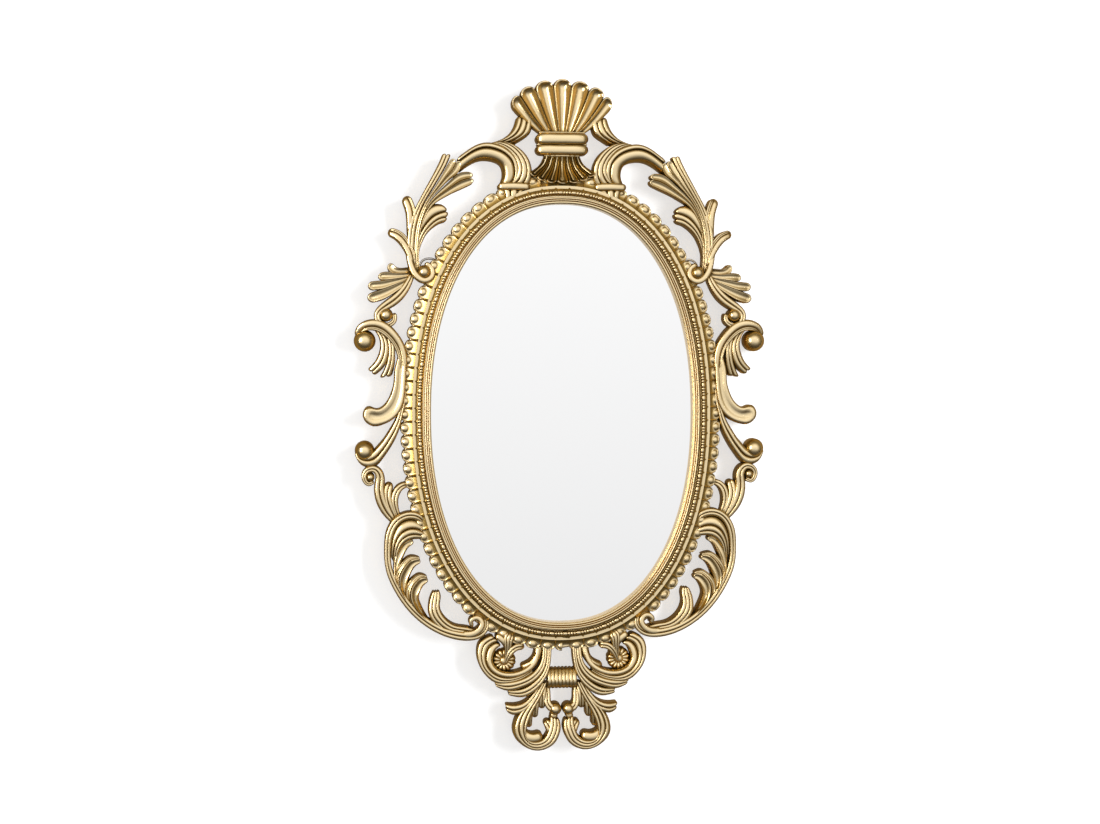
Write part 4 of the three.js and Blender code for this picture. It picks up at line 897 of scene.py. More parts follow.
def egg_height(distance, across_mm, pitch):
    """Height of the egg band: a concave slope out from the beads, a rounded rim that follows the arch, a round
    boss inside it and a thin dart between every two arches."""
    sizes = bpy.context.scene.mirror_sizes
    part = np.clip((distance - COVE_FROM) / (EGG_TIP - COVE_FROM), 0, 1)
    slope = TIP_TOP + (BAND_TOP - 0.3 - TIP_TOP) * (1 - part) ** COVE_BEND
    out = np.clip(distance - EGG_ROOT, 0, None) / (EGG_TIP - EGG_ROOT)
    arch = ((np.abs(across_mm) / EGG_ARCH_HALF) ** ARCH_POWER + out**ARCH_POWER) ** (1 / ARCH_POWER)
    fade = np.clip((distance - RIM_FROM) / RIM_FADE, 0, 1)
    rim = sizes.rim_rise * np.exp(-(((arch - RIM_ARCH) / RIM_SPREAD) ** 2)) * fade
    side = across_mm / EGG_HALF
    along = (distance - EGG_MIDDLE) / EGG_LENGTH
    inside = np.clip(1 - side**2 - along**2, 0, 1)
    boss = sizes.egg_rise * inside**0.7
    window = np.clip((distance - COVE_FROM) / 2, 0, 1) * np.clip((DART_END - distance) / RIM_FADE, 0, 1)
    dart = DART_RISE * np.exp(-(((pitch / 2 - np.abs(across_mm)) / DART_WIDTH) ** 2)) * window
    roll = -ROLL_DEPTH * np.clip((arch - ROLL_ARCH) / (1 - ROLL_ARCH), 0, 1) ** 2
    return slope + rim + boss + dart + roll


class MIRROR_OT_rail(bpy.types.Operator):
    """Carves the frame rail: rebate, lip, bead seat and a band of eggs in pointed rims"""

    bl_idname = "mirror.rail"
    bl_label = "Frame Rail"

    def execute(self, context):
        stations = EGG_COUNT * EGG_STATIONS
        count = np.arange(stations)
        place = [part[:, None] for part in even_oval((count + 0.5 * EGG_STATIONS) / stations)]
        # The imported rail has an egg's middle half a pitch from the bottom.
        share = (count / EGG_STATIONS) % 1 - 0.5
        fine_x, fine_z, _, _ = even_oval(np.arange(EGG_COUNT) / EGG_COUNT)
        pitch = np.hypot(*(np.roll(v, -1) - v for v in (fine_x, fine_z))).mean() * BOTTOM_PITCH
        across_mm = (share * pitch)[:, None]

        lip = SLIP_BACK + LIP_HEIGHT
        inner = np.array(
            [
                [REBATE_OUT, CASTING_BACK],
                [REBATE_OUT, lip],
                [LIP_OUT, lip],
                [LIP_OUT, BAND_TOP - 0.5],
                [LIP_OUT + 0.4, BAND_TOP],
                [COVE_FROM - 0.4, BAND_TOP - 0.2],
            ]
        )
        inner = np.broadcast_to(inner, (stations, *inner.shape))
        tip = egg_reach(across_mm)
        distance = COVE_FROM + (tip - COVE_FROM) * np.linspace(0, 1, BAND_ROWS)[None, :] ** 0.85
        height = egg_height(distance, across_mm, pitch)
        wall = height[:, -1:] + (CASTING_BACK - height[:, -1:]) * np.array([[0.12, 0.5, 1.0]])
        out = np.concatenate([inner[..., 0], distance, np.repeat(tip, 3, 1)], axis=1)
        up = np.concatenate([inner[..., 1], height, wall], axis=1)
        piece = closed_grid("carved_rail", out_from(place, out, up), "gilding", smooth=60)
        # Painted shade stays in the cove outside the beads and leaves the eggs and the band's edges bright.
        cove_shade = np.zeros(out.shape)
        first = inner.shape[1]
        starts = np.clip(distance - COVE_FROM + 0.4, 0, 1)
        cove_shade[:, first : first + BAND_ROWS] = starts * np.clip((COVE_SHADE_END - distance) / COVE_SHADE_FADE, 0, 1)
        cove_shade_attribute = piece.data.attributes.new("hollow", "FLOAT", "POINT")
        cove_shade_attribute.data.foreach_set("value", cove_shade.ravel().astype(np.float32))
        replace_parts(piece, "frame_rail")
        return {"FINISHED"}


class MIRROR_OT_beads(bpy.types.Operator):
    """Strings the bead row round the slip: one long bead and three short ones for each egg"""

    bl_idname = "mirror.beads"
    bl_label = "Bead Row"

    def execute(self, context):
        radius = context.scene.mirror_sizes.bead_radius
        ends = np.concatenate([[0], np.cumsum(BEAD_LENGTHS)]) / BEAD_LENGTHS.sum()
        turn = np.linspace(-np.pi / 2, np.pi / 2, BEAD_STATIONS + 1)[:-1]
        local = (np.sin(turn) + 1) / 2
        along = (ends[:-1, None] + local * np.diff(ends)[:, None]).ravel()
        swell = BEAD_WIDTHS[:, None] * (BEAD_WAIST + (1 - BEAD_WAIST) * np.cos(turn))
        shares = ((np.arange(EGG_COUNT)[:, None] + along) / EGG_COUNT).ravel()
        place = [part[:, None] for part in even_oval(shares)]
        size = radius * np.tile(swell.ravel(), EGG_COUNT)[:, None]
        angle = once_round(BEAD_SIDES)
        points = out_from(place, BEAD_LINE + size * np.cos(angle), BAND_TOP + BEAD_LIFT + size * np.sin(angle))
        closed_grid("bead_row", points, "gilding", smooth=80)
        return {"FINISHED"}


class MIRROR_OT_slip(bpy.types.Operator):
    """Turns the slip: a thin outer ridge, a groove, a broad half round and the wall down to the glass"""

    bl_idname = "mirror.slip"
    bl_label = "Glass Slip"

    def execute(self, context):
        top, back = SLIP_TOP, SLIP_BACK
        profile = np.concatenate(
            [
                [[-8.5, back], [-8.5, top - 4.4]],
                arc((-8.0, top - 3.8), 0.5, 180, 80, 4),
                ridge(-6.6, 1.35, top - 1.5, 1.7),
                ridge(-4.3, 0.9, top - 0.5, 1.7),
                ridge(-2.1, 1.25, top, 2.2),
                [[-0.8, top - 3.4], [-0.8, back + 2.4], [11.7, back + 2.4], [11.7, back]],
            ]
        )
        place = [part[:, None] for part in even_oval(np.arange(SLIP_STATIONS) / SLIP_STATIONS)]
        points = out_from(place, profile[None, :, 0], profile[None, :, 1])
        piece = closed_grid("turned_slip", points, "slip_gilding", smooth=50)
        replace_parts(piece, "glass_slip")
        return {"FINISHED"}


class MIRROR_OT_glass(bpy.types.Operator):
    """Cuts the oval glass and lays card and board behind it"""

    bl_idname = "mirror.glass"
    bl_label = "Glass, Card and Board"

    def execute(self, context):
        plates = [
            ("oval_glass", "mirror_glass", "silvered_glass", 0.5),
            ("card_sheet", "packing_sheet", "cardboard", 0.3),
            ("fibre_board", "backing_board", "hardboard", 0.8),
        ]
        for name, node, slot, bevel in plates:
            low, high = node_box(node)
            margin = high[0] - SIGHT_HALF_WIDTH
            back, front = -high[1], -low[1]
            inner = margin - bevel
            edge = [(inner, back), (margin, back + bevel), (margin, front - bevel), (inner, front)]
            place = even_oval(np.arange(PLATE_STATIONS) / PLATE_STATIONS)
            rings = np.stack([out_from(place, np.array(d), h) for d, h in edge])
            points, triangles = tube_skin(rings)
            piece = mesh_object(name, points, triangles, slot, smooth=30)
            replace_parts(piece, node)
        return {"FINISHED"}


# ---------------------------------------------------------------- castings


def one_casting(name, node, solids):
    """A casting on the middle line."""
    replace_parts(finish_piece(name, fused(name, solids), "gilding", smooth=CARVED_EDGE), node)


def casting_pair(name, node, solids):
    """A casting for the right-hand side and its mirror image for the left."""
    right = fused(name + "_right", solids)
    left = mirrored_mesh(name + "_left", right)
    for side, mesh in (("right", right), ("left", left)):
        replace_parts(finish_piece(f"{name}_{side}", mesh, "gilding", smooth=CARVED_EDGE), f"{node}_{side}")


class MIRROR_OT_crest(bpy.types.Operator):
    """Carves the crest: seven hollow lobes fan out from a collar, and fluted scallops hang below it"""

    bl_idname = "mirror.crest"
    bl_label = "Crest"

    # Where the lines between the lobes end, on the right, and how wide their root is.
    SHELL_VALLEYS = [(10, 363.5), (29.8, 359.8), (46.8, 352.6), (56.8, 341.8)]
    SHELL_ROOT = 20.5
    SHELL_TIP = 9.6
    SKIRT_VALLEYS = [(6.4, 260.4), (18.2, 261.6), (28, 265.6), (35.6, 270.2)]
    SKIRT_ROOT = 18.6
    SKIRT_TIP = 3.8
    # The collar's bands: z, and x, width and height from the middle to the right end.
    BANDS = [
        (306.8, [(0, 12.8, 25.6), (22, 12.8, 25), (29.6, 11.5, 22.5)]),
        (294.8, [(0, 11.6, 24.6), (22, 11.6, 24), (29.6, 10.5, 21.5)]),
        (300.6, [(0, 2.2, 22.3), (28, 2.2, 20.5)]),
        (313.8, [(0, 2.0, 21.5), (26, 2.0, 19.5)]),
        (288.2, [(0, 2.0, 21.5), (20, 2.0, 20)]),
    ]

    def execute(self, context):
        one_casting("shell", "crest_shell", [self.shell()])
        one_casting("collar", "crest_collar", [self.band(z, right) for z, right in self.BANDS])
        one_casting("skirt", "crest_skirt", self.skirt())
        return {"FINISHED"}

    def band(self, z, right):
        """A level band across the collar."""
        left = [(-x, width, height) for x, width, height in right[:0:-1]]
        return stroke([(x, z, width, height) for x, width, height in left + right])

    def fan_lines(self, root_half, valleys, root_z, middle):
        """The lines between a fan's lobes, from its left edge: each runs from its place in the root, through a
        middle point, to its valley."""
        ends = [(-x, z) for x, z in valleys[::-1]] + valleys
        roots = np.linspace(-root_half, root_half, len(ends))
        return [[(root, root_z), middle(root, x, z), (x, z)] for root, (x, z) in zip(roots, ends)]

    def shell(self):
        """The fan of lobes."""
        middle = lambda root, x, z: ((root * 1.05 + x) / 2, (310 + z) / 2 - 2)
        lines = self.fan_lines(self.SHELL_ROOT, self.SHELL_VALLEYS, 310, middle)
        shape = {"kind": "spoon", "dome": 0.14, "bulge": 0.09, "rim": 0.11, "carve": 1.15}
        return fan(lines, [19, 22, 24.5, 25.5, 24.5], reach=self.SHELL_TIP, **shape)

    def skirt(self):
        """The fan of scallops, with a thin rib down each."""
        middle = lambda root, x, z: (0.68 * root + 0.32 * x, 0.45 * 291 + 0.55 * z)
        lines = self.fan_lines(self.SKIRT_ROOT, self.SKIRT_VALLEYS, 291, middle)
        shape = {"kind": "spoon", "dome": 0.06, "rim": 0.13, "carve": 1.8}
        solids = [fan(lines, [22.5, 20, 20.6, 24.4, 27.2], reach=self.SKIRT_TIP, **shape)]
        for one, two in zip(lines[:-1], lines[1:]):
            root, bend, end = (np.array(one) + np.array(two)) / 2
            low = bend * 0.35 + end * 0.65
            solids.append(stroke([[*root, 1.3, 21.5], [*bend, 1.5, 18.6], [*low, 1.7, 22],
                                  [*end, 1.4, 24.4]]))
        return solids


class MIRROR_OT_crest_scroll(bpy.types.Operator):
    """Carves the horns of nested crescents beside the crest, each with an arched stem and a small leaf"""

    bl_idname = "mirror.crest_scroll"
    bl_label = "Crest Scrolls"

    PARTS = [
        ([[36, 253.2, 8, 24], [54, 253.6, 8.5, 26.4], [72, 253.2, 8, 24]], "round"),
        (
            [[47, 237], [44, 243], [40, 251]],
            [[64, 238], [65.5, 245], [68, 252]],
            [24, 25, 24.6],
            {"ribs": 3},
        ),
        (
            [[53, 256.5], [49, 264], [48.5, 272], [50.5, 281], [55.5, 289], [63, 295.5], [73, 300],
             [85, 301.8], [99, 297.5], [108, 291.5], [117, 285]],
            [[69.5, 257], [67, 264], [66.8, 270], [69, 276.5], [74, 280.2], [82.5, 282.3], [91, 282.2],
             [100, 279], [108, 274], [116, 267.5]],
            [22, 24, 25, 24.8, 24.3, 23, 21],
            {"ribs": (0, 0.26, 1)},
        ),
        (
            [[52, 301], [42.5, 307], [36, 312.6], [33.5, 320], [32.5, 331]],
            [[84, 301.5], [70.6, 304.9], [61, 310.6], [54.4, 319.4], [50.8, 331.5]],
            [18, 20, 21.5, 21, 18.5],
            {"ribs": 3},
        ),
    ]
    # The lines between the horn's crescents, from the outermost.
    CRESCENTS = [
        [[36.5, 254], [34.2, 262], [34, 270], [35.5, 278.5], [40, 287.8], [47.5, 295.5], [57, 301],
         [70, 303.5]],
        [[45.5, 255], [40.4, 263.5], [39.6, 272.2], [41.7, 280.8], [46.7, 289], [53.7, 296], [62, 300.8],
         [73, 303]],
        [[54, 255.5], [47, 264.5], [45.4, 272.5], [47.2, 281], [52.3, 289], [59.3, 295.5], [67, 299.8],
         [76, 302.2]],
        [[61, 256.5], [52.5, 264.8], [50.5, 272.5], [52.3, 281], [57.3, 288.6], [64, 294.8], [72, 298.6],
         [80, 301]],
    ]

    def execute(self, context):
        crescents = fan(self.CRESCENTS, [23, 24.5, 25, 24.5, 23.5, 21])
        casting_pair("horn", "crest_scroll", [*leaves(self.PARTS), crescents])
        return {"FINISHED"}


class MIRROR_OT_upper_spray(bpy.types.Operator):
    """Carves the tall acanthus sprays with their lobed heads, fingers and curling leaves"""

    bl_idname = "mirror.upper_spray"
    bl_label = "Upper Sprays"

    PARTS = [
        # The three lobes of the head, from the inner one to the outer one.
        (
            [[159, 160], [160, 182], [158.5, 200], [155, 214], [149, 226], [141.2, 234.8], [132.8, 240.2],
             [122.3, 245.9], [110.6, 251.2], [98.5, 257]],
            [[161.5, 160], [162, 182], [160.5, 200], [157, 216], [151, 231], [142, 243], [133, 252],
             [124, 260.5], [114.5, 268], [100, 269]],
            [18, 20.5, 21.5, 22.5, 22.5, 20.5],
            {"ribs": 2, "kind": "spoon", "dome": 0.05, "carve": 0.7},
        ),
        (
            [[161, 160], [161.8, 182], [160.3, 200], [157, 216], [151, 231], [142.5, 243.5], [133.5, 253],
             [124.5, 261.5], [115.8, 268.5], [111.5, 280]],
            [[164, 160], [165, 182], [164, 200], [160.5, 217], [155, 231], [148, 243], [141, 254],
             [134.5, 265], [129, 275], [123.6, 284.5]],
            [18.5, 21, 22.5, 23.5, 23.5, 21],
            {"ribs": 2, "kind": "spoon", "dome": 0.05, "carve": 0.7},
        ),
        (
            [[163.5, 160], [164.5, 182], [163.5, 200], [160, 217], [155, 231], [148, 243.5], [141, 255],
             [134.5, 266], [128.5, 277], [123.8, 288.5]],
            [[171.5, 160], [172.5, 182], [172.5, 200], [168.5, 218], [162, 232.5], [155, 246], [147.8, 259],
             [141.2, 271.4], [135.4, 283.6], [133.2, 289.5]],
            [19, 21, 21.5, 21.5, 21.5, 19],
            {"ribs": 2},
        ),
        ([[167, 182, 7, 18.5], [168, 205, 10, 20.5], [168.5, 225, 11.5, 21.5],
          [174.6, 241.8, 11, 18.5]], "rim_left"),
        ([[166, 165, 7, 20], [168.5, 177, 9.5, 21.5], [174.5, 189.5, 11, 21], [183.5, 199, 11, 20],
          [193.6, 203.2, 9, 17]], "rim_left"),
        ([[171.5, 182, 6, 20], [168.8, 167, 6.5, 22], [162.5, 154.2, 7, 23.5], [153.5, 149, 6.5, 24],
          [145.3, 154.5, 6, 23], [146.2, 163.5, 5.5, 21.5], [153, 167.8, 5, 20.5]], "round"),
    ]

    # The lines between the three fingers on the inner side, from the lowest.
    FINGERS = [
        [[158.5, 163], [159.2, 181], [156.4, 190], [150.8, 200.3], [143, 208], [135.4, 212.4], [130, 213.5]],
        [[159.5, 166], [160, 184], [157, 195], [151, 205.5], [143.5, 213], [136, 217.5], [127.5, 219]],
        [[160.3, 170], [160.8, 190], [157.3, 202], [151, 212], [143.5, 219.5], [136, 223.3], [127, 225.8]],
        [[161, 178], [163, 197], [161, 211], [156, 223], [149, 231], [141, 234], [131.5, 232.5]],
    ]

    def execute(self, context):
        fingers = fan(self.FINGERS, [17.5, 20, 21.5, 22, 20.5], dome=0.15)
        casting_pair("spray", "upper_spray", [*leaves(self.PARTS), fingers, ball(154, 158.4, 7.6, 26)])
        return {"FINISHED"}


class MIRROR_OT_palmette(bpy.types.Operator):
    """Carves the palmettes: four lobes fan out and their stem rolls up round a boss"""

    bl_idname = "mirror.palmette"
    bl_label = "Side Palmettes"

    PARTS = [
        (
            [[163, 160], [170, 163.5], [177, 163], [184, 163.6], [190, 169.5]],
            [[166, 156], [175, 156], [184, 156], [192, 158], [195.5, 165]],
            [15, 18, 20, 20, 17.5],
            {"ribs": 1, "kind": "spoon", "carve": 0.9},
        ),
        (
            [[165, 158], [175, 157.5], [184, 157.5], [192, 158.6], [204.5, 157.2]],
            [[167, 154], [177, 152], [187, 150.3], [196, 149], [205, 149.5]],
            [16, 19, 21, 21, 18],
            {"ribs": 1, "kind": "spoon", "carve": 0.9},
        ),
        (
            [[166, 156], [177, 152.6], [187, 150.8], [197, 149.4], [216, 147.6]],
            [[168, 152], [179, 147.2], [190, 142.6], [200, 139], [216, 138]],
            [16.5, 19.5, 21.5, 21.5, 18.5],
            {"ribs": 1, "kind": "spoon", "carve": 0.9},
        ),
        (
            [[167, 154], [179, 147.8], [190, 143.2], [202, 139.2], [218, 133.5]],
            [[168.5, 150], [178, 141.5], [188, 134], [199, 127.5], [215, 123.6]],
            [17, 20, 22, 22, 18.5],
            {"ribs": 1, "kind": "spoon", "carve": 0.9},
        ),
        ([[167, 155.5, 6, 18], [173.6, 142.5, 9, 20], [185, 129, 11.5, 21.5], [198, 119.8, 10, 22],
          [206, 111, 7, 23], [203, 102, 6.5, 23], [194.5, 99.4, 6, 22], [187.4, 104.5, 5.5, 21],
          [187.4, 113, 5, 19]], "twin"),
    ]

    def execute(self, context):
        casting_pair("palmette", "side_palmette", [*leaves(self.PARTS), ball(196.3, 110.8, 7.6, 25.5)])
        return {"FINISHED"}


class MIRROR_OT_side_scroll(bpy.types.Operator):
    """Carves the long side scrolls with their two balls, blunt hooks and fingers"""

    bl_idname = "mirror.side_scroll"
    bl_label = "Side Scrolls"

    PARTS = [
        ([[228.6, 87, 6, 18], [224.5, 95, 9.5, 21], [215, 99.5, 12, 23.5], [202.5, 98, 13.5, 24],
          [190, 88.5, 12.5, 24], [181.2, 75, 11.5, 23], [178, 62, 10.5, 22.5],
          [178, 48, 9, 21]], "rim_left"),
        (
            [[183.5, 78], [184, 62], [187, 50], [188, 36], [190.6, 25.6], [195, 16], [200.6, 9.6], [207, 7],
             [215, 9.6], [224.5, 8.6]],
            [[176, 76], [174.6, 62], [174.2, 45], [175.5, 25], [179, 8], [185, -1.5], [192, -7],
             [199.5, -10.6], [208, -13], [220, -13.4]],
            [20, 22, 23, 23.5, 23.8, 24, 23],
            {"ribs": 1, "kind": "spoon", "rim": 0.24, "carve": 0.5, "dome": 0.1},
        ),
        (
            [[177, 30], [179.5, 15], [183.5, 2], [188.5, -9], [194, -18], [200, -27], [206.5, -34.5],
             [213, -41], [219.5, -44.5], [225.5, -44.3], [228, -39]],
            [[174.3, 30], [175, 15], [177.5, 2], [180.8, -12.5], [186, -26], [193, -38.5], [201, -50],
             [208, -57.2], [217, -58.8], [226, -54], [231.6, -43]],
            [20, 21.5, 22.5, 23, 23, 22, 19],
            {"ribs": 2},
        ),
        (
            [[213.5, 98], [205.5, 88.5], [202.8, 77.5], [204.8, 67], [209.5, 58], [217, 50.5]],
            [[204, 96], [196, 86], [193, 75], [194, 64], [198, 54], [209, 43.5]],
            [20, 22, 22.5, 21.5, 19],
            {"ribs": 2},
        ),
        (
            [[206, 97], [197, 87], [194, 76], [194.5, 64], [197.5, 53], [204, 40.5]],
            [[198, 94], [189, 84], [186.5, 72], [186.5, 60], [187.5, 52], [190, 42.5]],
            [20, 21.5, 22, 20.5, 18],
            {"ribs": 2},
        ),
    ]

    def execute(self, context):
        balls = [ball(219.9, 82, 12.1, 26.5), ball(220.5, -40, 10.9, 26)]
        casting_pair("side_scroll", "side_scroll", [*leaves(self.PARTS), *balls])
        return {"FINISHED"}


class MIRROR_OT_volute(bpy.types.Operator):
    """Carves the small volutes between the side scrolls and the lower acanthus"""

    bl_idname = "mirror.volute"
    bl_label = "Side Volutes"

    PARTS = [
        ([[186, -121, 7, 18], [196, -109, 10, 20], [202.8, -94, 12, 21.5], [204.2, -79, 11.5, 22],
          [204, -67.5, 10, 22.5], [209.5, -60.5, 8, 22.5], [217.8, -61.8, 6.5, 22], [221.3, -69.8, 5.5, 21.5],
          [216.3, -76.8, 5, 21], [210.6, -74.2, 4.5, 20.5]], "twin"),
        ([[186, -117, 6, 18], [192.5, -104, 9, 20], [195.5, -90, 10, 20.5],
          [192.5, -75.5, 9.5, 18.5]], "twin"),
        ([[182.5, -115, 5, 18], [187, -103, 7.5, 19.5], [187, -91, 8.5, 20], [181, -80.8, 8, 19],
          [171.5, -77.5, 6, 16.5]], "twin"),
    ]

    def execute(self, context):
        casting_pair("volute", "side_volute", [*leaves(self.PARTS), ball(214.3, -69.2, 4.8, 23)])
        return {"FINISHED"}


class MIRROR_OT_acanthus(bpy.types.Operator):
    """Carves the large lower acanthus scrolls: nested bands, four fingers and a curl at the rail"""

    bl_idname = "mirror.acanthus"
    bl_label = "Lower Acanthus"

    PARTS = [
        # The outer band, from the head down to the curl at the rail.
        ([[153, -123, 5, 19], [160.5, -114.6, 8, 22.5], [172.5, -112, 8.5, 24], [184, -117, 8.5, 24],
          [192.5, -130, 8.5, 24], [195.6, -149, 7.5, 23], [194, -172, 7.5, 22.5], [185.5, -193, 8, 22.5],
          [172, -213.5, 8.5, 22.5], [154, -231, 9, 22.5], [132, -243.6, 9.5, 23], [109, -249, 10, 23],
          [93, -247, 8, 22], [85.8, -239.5, 6.5, 21.5], [86.5, -229, 5.5, 20.5]], "twin"),
        # The head: a broad rolled edge and two crescents below it.
        (
            [[186, -170], [184, -156], [179.5, -146.5], [172, -140.5], [163, -139], [155, -139.5]],
            [[194, -155], [192, -138], [186.5, -124], [177, -116], [165, -115.5], [153.5, -123.5]],
            [20, 22.5, 24, 25, 23.5, 20],
            {"ribs": (0, 0.24, 0.5, 1)},
        ),
        # Four fingers inside the curve, from the top down.
        (
            [[181, -202], [183.5, -184], [181.5, -168], [176.5, -155.5], [171, -147.3], [166, -144.8]],
            [[183.5, -196], [188.5, -178], [188.5, -161], [184, -149], [176, -141], [167.5, -139]],
            [22, 23, 22, 22.5, 21, 18.5],
            {"ribs": 1, "kind": "spoon", "carve": 0.7, "rim": 0.2},
        ),
        (
            [[166, -222], [172.5, -205], [173, -189], [169.5, -177.5], [164, -169.3], [158.5, -166]],
            [[177, -205], [185, -190], [187, -176], [180.5, -164.7], [170.5, -157.5], [160, -159.5]],
            [22, 23, 22.5, 23, 21.5, 18.5],
            {"ribs": (0, 0.7, 1), "kind": "spoon", "carve": 0.7, "rim": 0.2},
        ),
        (
            [[138, -241], [150.5, -228], [158, -214], [160.7, -204], [158.5, -196.5], [155, -191],
             [150, -187.5]],
            [[157, -226.5], [171.5, -211], [176.5, -198], [173.2, -187.4], [167, -181], [160.5, -177.8],
             [152, -180.5]],
            [22, 23, 22.5, 23, 22, 18.5],
            {"ribs": (0, 0.7, 1), "kind": "spoon", "carve": 0.7, "rim": 0.2},
        ),
        (
            [[98, -241], [108.3, -238], [119, -236.2], [128.7, -230.5], [135.5, -221.5], [137.5, -212.5],
             [136.5, -203], [138, -197.5]],
            [[106, -250], [119, -249], [134, -243.5], [144.5, -234], [150, -224.5], [150.5, -215],
             [148.6, -205], [145.5, -198]],
            [20, 21.5, 22.5, 23, 22, 19],
            {"ribs": 3},
        ),
        ([[116, -245.5, 7, 21], [104, -246.5, 8, 23.5], [94, -242, 7, 24.5], [90.6, -234, 6, 24.5],
          [96, -228, 5.5, 24], [102.8, -231.8, 5, 23.5], [101, -238, 4.5, 22]], "round"),
    ]

    def execute(self, context):
        casting_pair("acanthus", "lower_acanthus", leaves(self.PARTS))
        return {"FINISHED"}


class MIRROR_OT_pendant(bpy.types.Operator):
    """Carves everything below the rail: plumes, rosettes, the reeded bar and the pendant leaves"""

    bl_idname = "mirror.pendant"
    bl_label = "Pendant"

    PLUME = [
        (
            [[31, -263], [32.5, -272], [38, -278.5], [47.5, -282.5]],
            [[21, -263], [24, -275], [32, -285.5], [45, -290.5]],
            [19, 20.5, 21, 18],
            {"ribs": 1},
        ),
        (
            [[17, -263], [20, -287], [32, -301.5], [46, -309.2], [61, -311]],
            [[11.8, -263], [12.9, -280], [18, -297], [29, -311], [44.5, -319.2], [60.5, -317]],
            [20, 22, 23.5, 23, 19.5],
            {"ribs": 2},
        ),
        (
            [[22, -263], [25, -281], [37, -293.6], [55, -300.4], [76.5, -301.5]],
            [[16.5, -263], [19.5, -286], [31, -300.8], [47, -308.6], [62, -311.6], [74.5, -307]],
            [20, 22.5, 24, 23.5, 20],
            {"ribs": 2},
        ),
        # The band that rolls up round the rosette.
        (
            [[29, -265], [36, -280.5], [46, -287.5], [58, -290.2], [69.5, -288.2], [76, -283], [78.6, -276.5],
             [77, -269.5], [72.5, -263], [67.5, -260.5]],
            [[24, -265], [29, -283], [40, -292], [55, -296.6], [70, -295], [80.5, -289], [86, -279.5],
             [86, -268.5], [81, -259.5], [73.5, -255.8]],
            [19.5, 22, 23.5, 24, 23.5, 22.5, 20],
            {"ribs": 1},
        ),
        (
            [[34, -286], [44, -292.5], [56, -296.2], [69, -295], [79.5, -289.3], [85.4, -280], [85.6, -268.5],
             [81, -260], [71, -255.5]],
            [[34, -293], [46, -299.5], [60, -302.6], [76.5, -301.6], [86.5, -293.5], [94, -281.5],
             [96.4, -268.7], [93.4, -256], [80, -247.5]],
            [20, 22, 23, 23.5, 23.5, 22.5, 20.5],
            {"ribs": 2},
        ),
    ]
    FORK = [
        ([[64.5, -281, 3, 18.5], [59.5, -270, 7, 21], [51.5, -262.6, 8, 21.5],
          [42.4, -262.4, 7.5, 19]], "twin"),
        ([[64, -278, 3, 18.5], [61.5, -264, 8, 21.5], [60.5, -252, 12, 23], [57.5, -245, 13, 22]], "triple"),
        ([[62, -264, 5, 19.5], [66.5, -255, 7, 22], [75, -248.5, 7, 21]], "round"),
    ]
    LEAF = [
        # The main band, down round the bottom and up to the middle.
        (
            [[27, -305], [36, -320], [45, -332.5], [51.5, -341], [55, -350], [55.8, -358], [53.7, -365],
             [48.6, -371], [42, -375.8], [33, -379.6], [24.4, -380.2], [15, -377.2], [8, -372], [3.4, -364],
             [1.2, -355], [2.6, -345.5]],
            [[16, -303], [23, -319], [31.5, -334.5], [38, -349], [40.6, -357], [40.6, -363], [36.5, -368],
             [30, -369.6], [24, -368.4], [19.5, -365], [16.5, -359.5], [14.5, -352], [13.5, -342]],
            [20, 22, 23, 24, 24, 23.5, 23, 22.5, 19.5],
            {"ribs": 3},
        ),
        (
            [[28, -308], [35, -317.6], [43, -324.6], [52, -327.4], [64, -326.8]],
            [[23, -310], [31, -324], [40, -334], [48.8, -338.6], [55, -339.6], [62.5, -336]],
            [20, 22, 22.5, 22, 19],
            {"ribs": 2},
        ),
        ([[19, -303, 6, 17], [21.8, -317, 8, 20], [22.5, -333.5, 7.5, 17.5]], "twin"),
        ([[24, -310, 6, 18], [29.3, -325, 8.5, 20.5], [30.6, -343.5, 7, 17.5]], "twin"),
        ([[32, -322, 6, 19], [37, -338, 8.5, 21], [37.2, -354.5, 7, 17.5]], "twin"),
        ([[12, -368, 6, 18], [13, -358, 9, 20.5], [18.5, -346.5, 8, 18]], "twin"),
        ([[45, -352, 7, 19], [42, -361.5, 9.5, 22], [33, -365.8, 11, 23], [22, -362.6, 10, 21]], "round"),
        ([[17.5, -304, 7, 17], [16.4, -318, 7.5, 19], [15.4, -328, 8.5, 21],
          [8.8, -334.5, 10, 22.5]], "twin"),
        ([[7, -337, 8, 18], [10.5, -346, 9, 18]], "round"),
    ]

    def execute(self, context):
        casting_pair("plume", "plume", leaves(self.PLUME))
        casting_pair("rosette", "rosette", [button(65.2, -278, 13.4), *leaves(self.FORK)])
        one_casting("reeded_bar", "lyre_bar", reeds())
        casting_pair("pendant", "pendant_leaf", [*leaves(self.LEAF), ball(7.4, -333.6, 7.0, 24)])
        return {"FINISHED"}


PETALS = 14
REEDS, REED_WIDTH, REED_PITCH = 8, 4.5, 4.1


def button(x, z, radius):
    """A round button fluted like a daisy: between the hub and the rim its height falls by the petals' arch, a
    share of |sin| of half the petal count times the angle."""
    r = radius * np.array([0.06, 0.2, 0.34, 0.36, 0.46, 0.6, 0.75, 0.88, 0.96, 1.0, 1.0, 1.0])
    h = np.array([18.6, 18.2, 17.2, 16.4, 17.0, 17.4, 17.2, 16.2, 15.0, 13.2, 9.0, CASTING_BACK])
    flute = np.array([0, 0, 0, 0.3, 0.8, 1.1, 1.3, 1.4, 1.4, 1.2, 0.8, 0.8])
    angle = once_round(PETALS * 8)
    arch = 1 - np.abs(np.sin(PETALS * angle / 2)) ** 0.7
    reach = r[:, None] - 0.7 * (flute[:, None] > 0.7) * arch
    level = np.maximum(h[:, None] - flute[:, None] * arch, CASTING_BACK)
    return turned_rings(reach, level, x, z, angle)


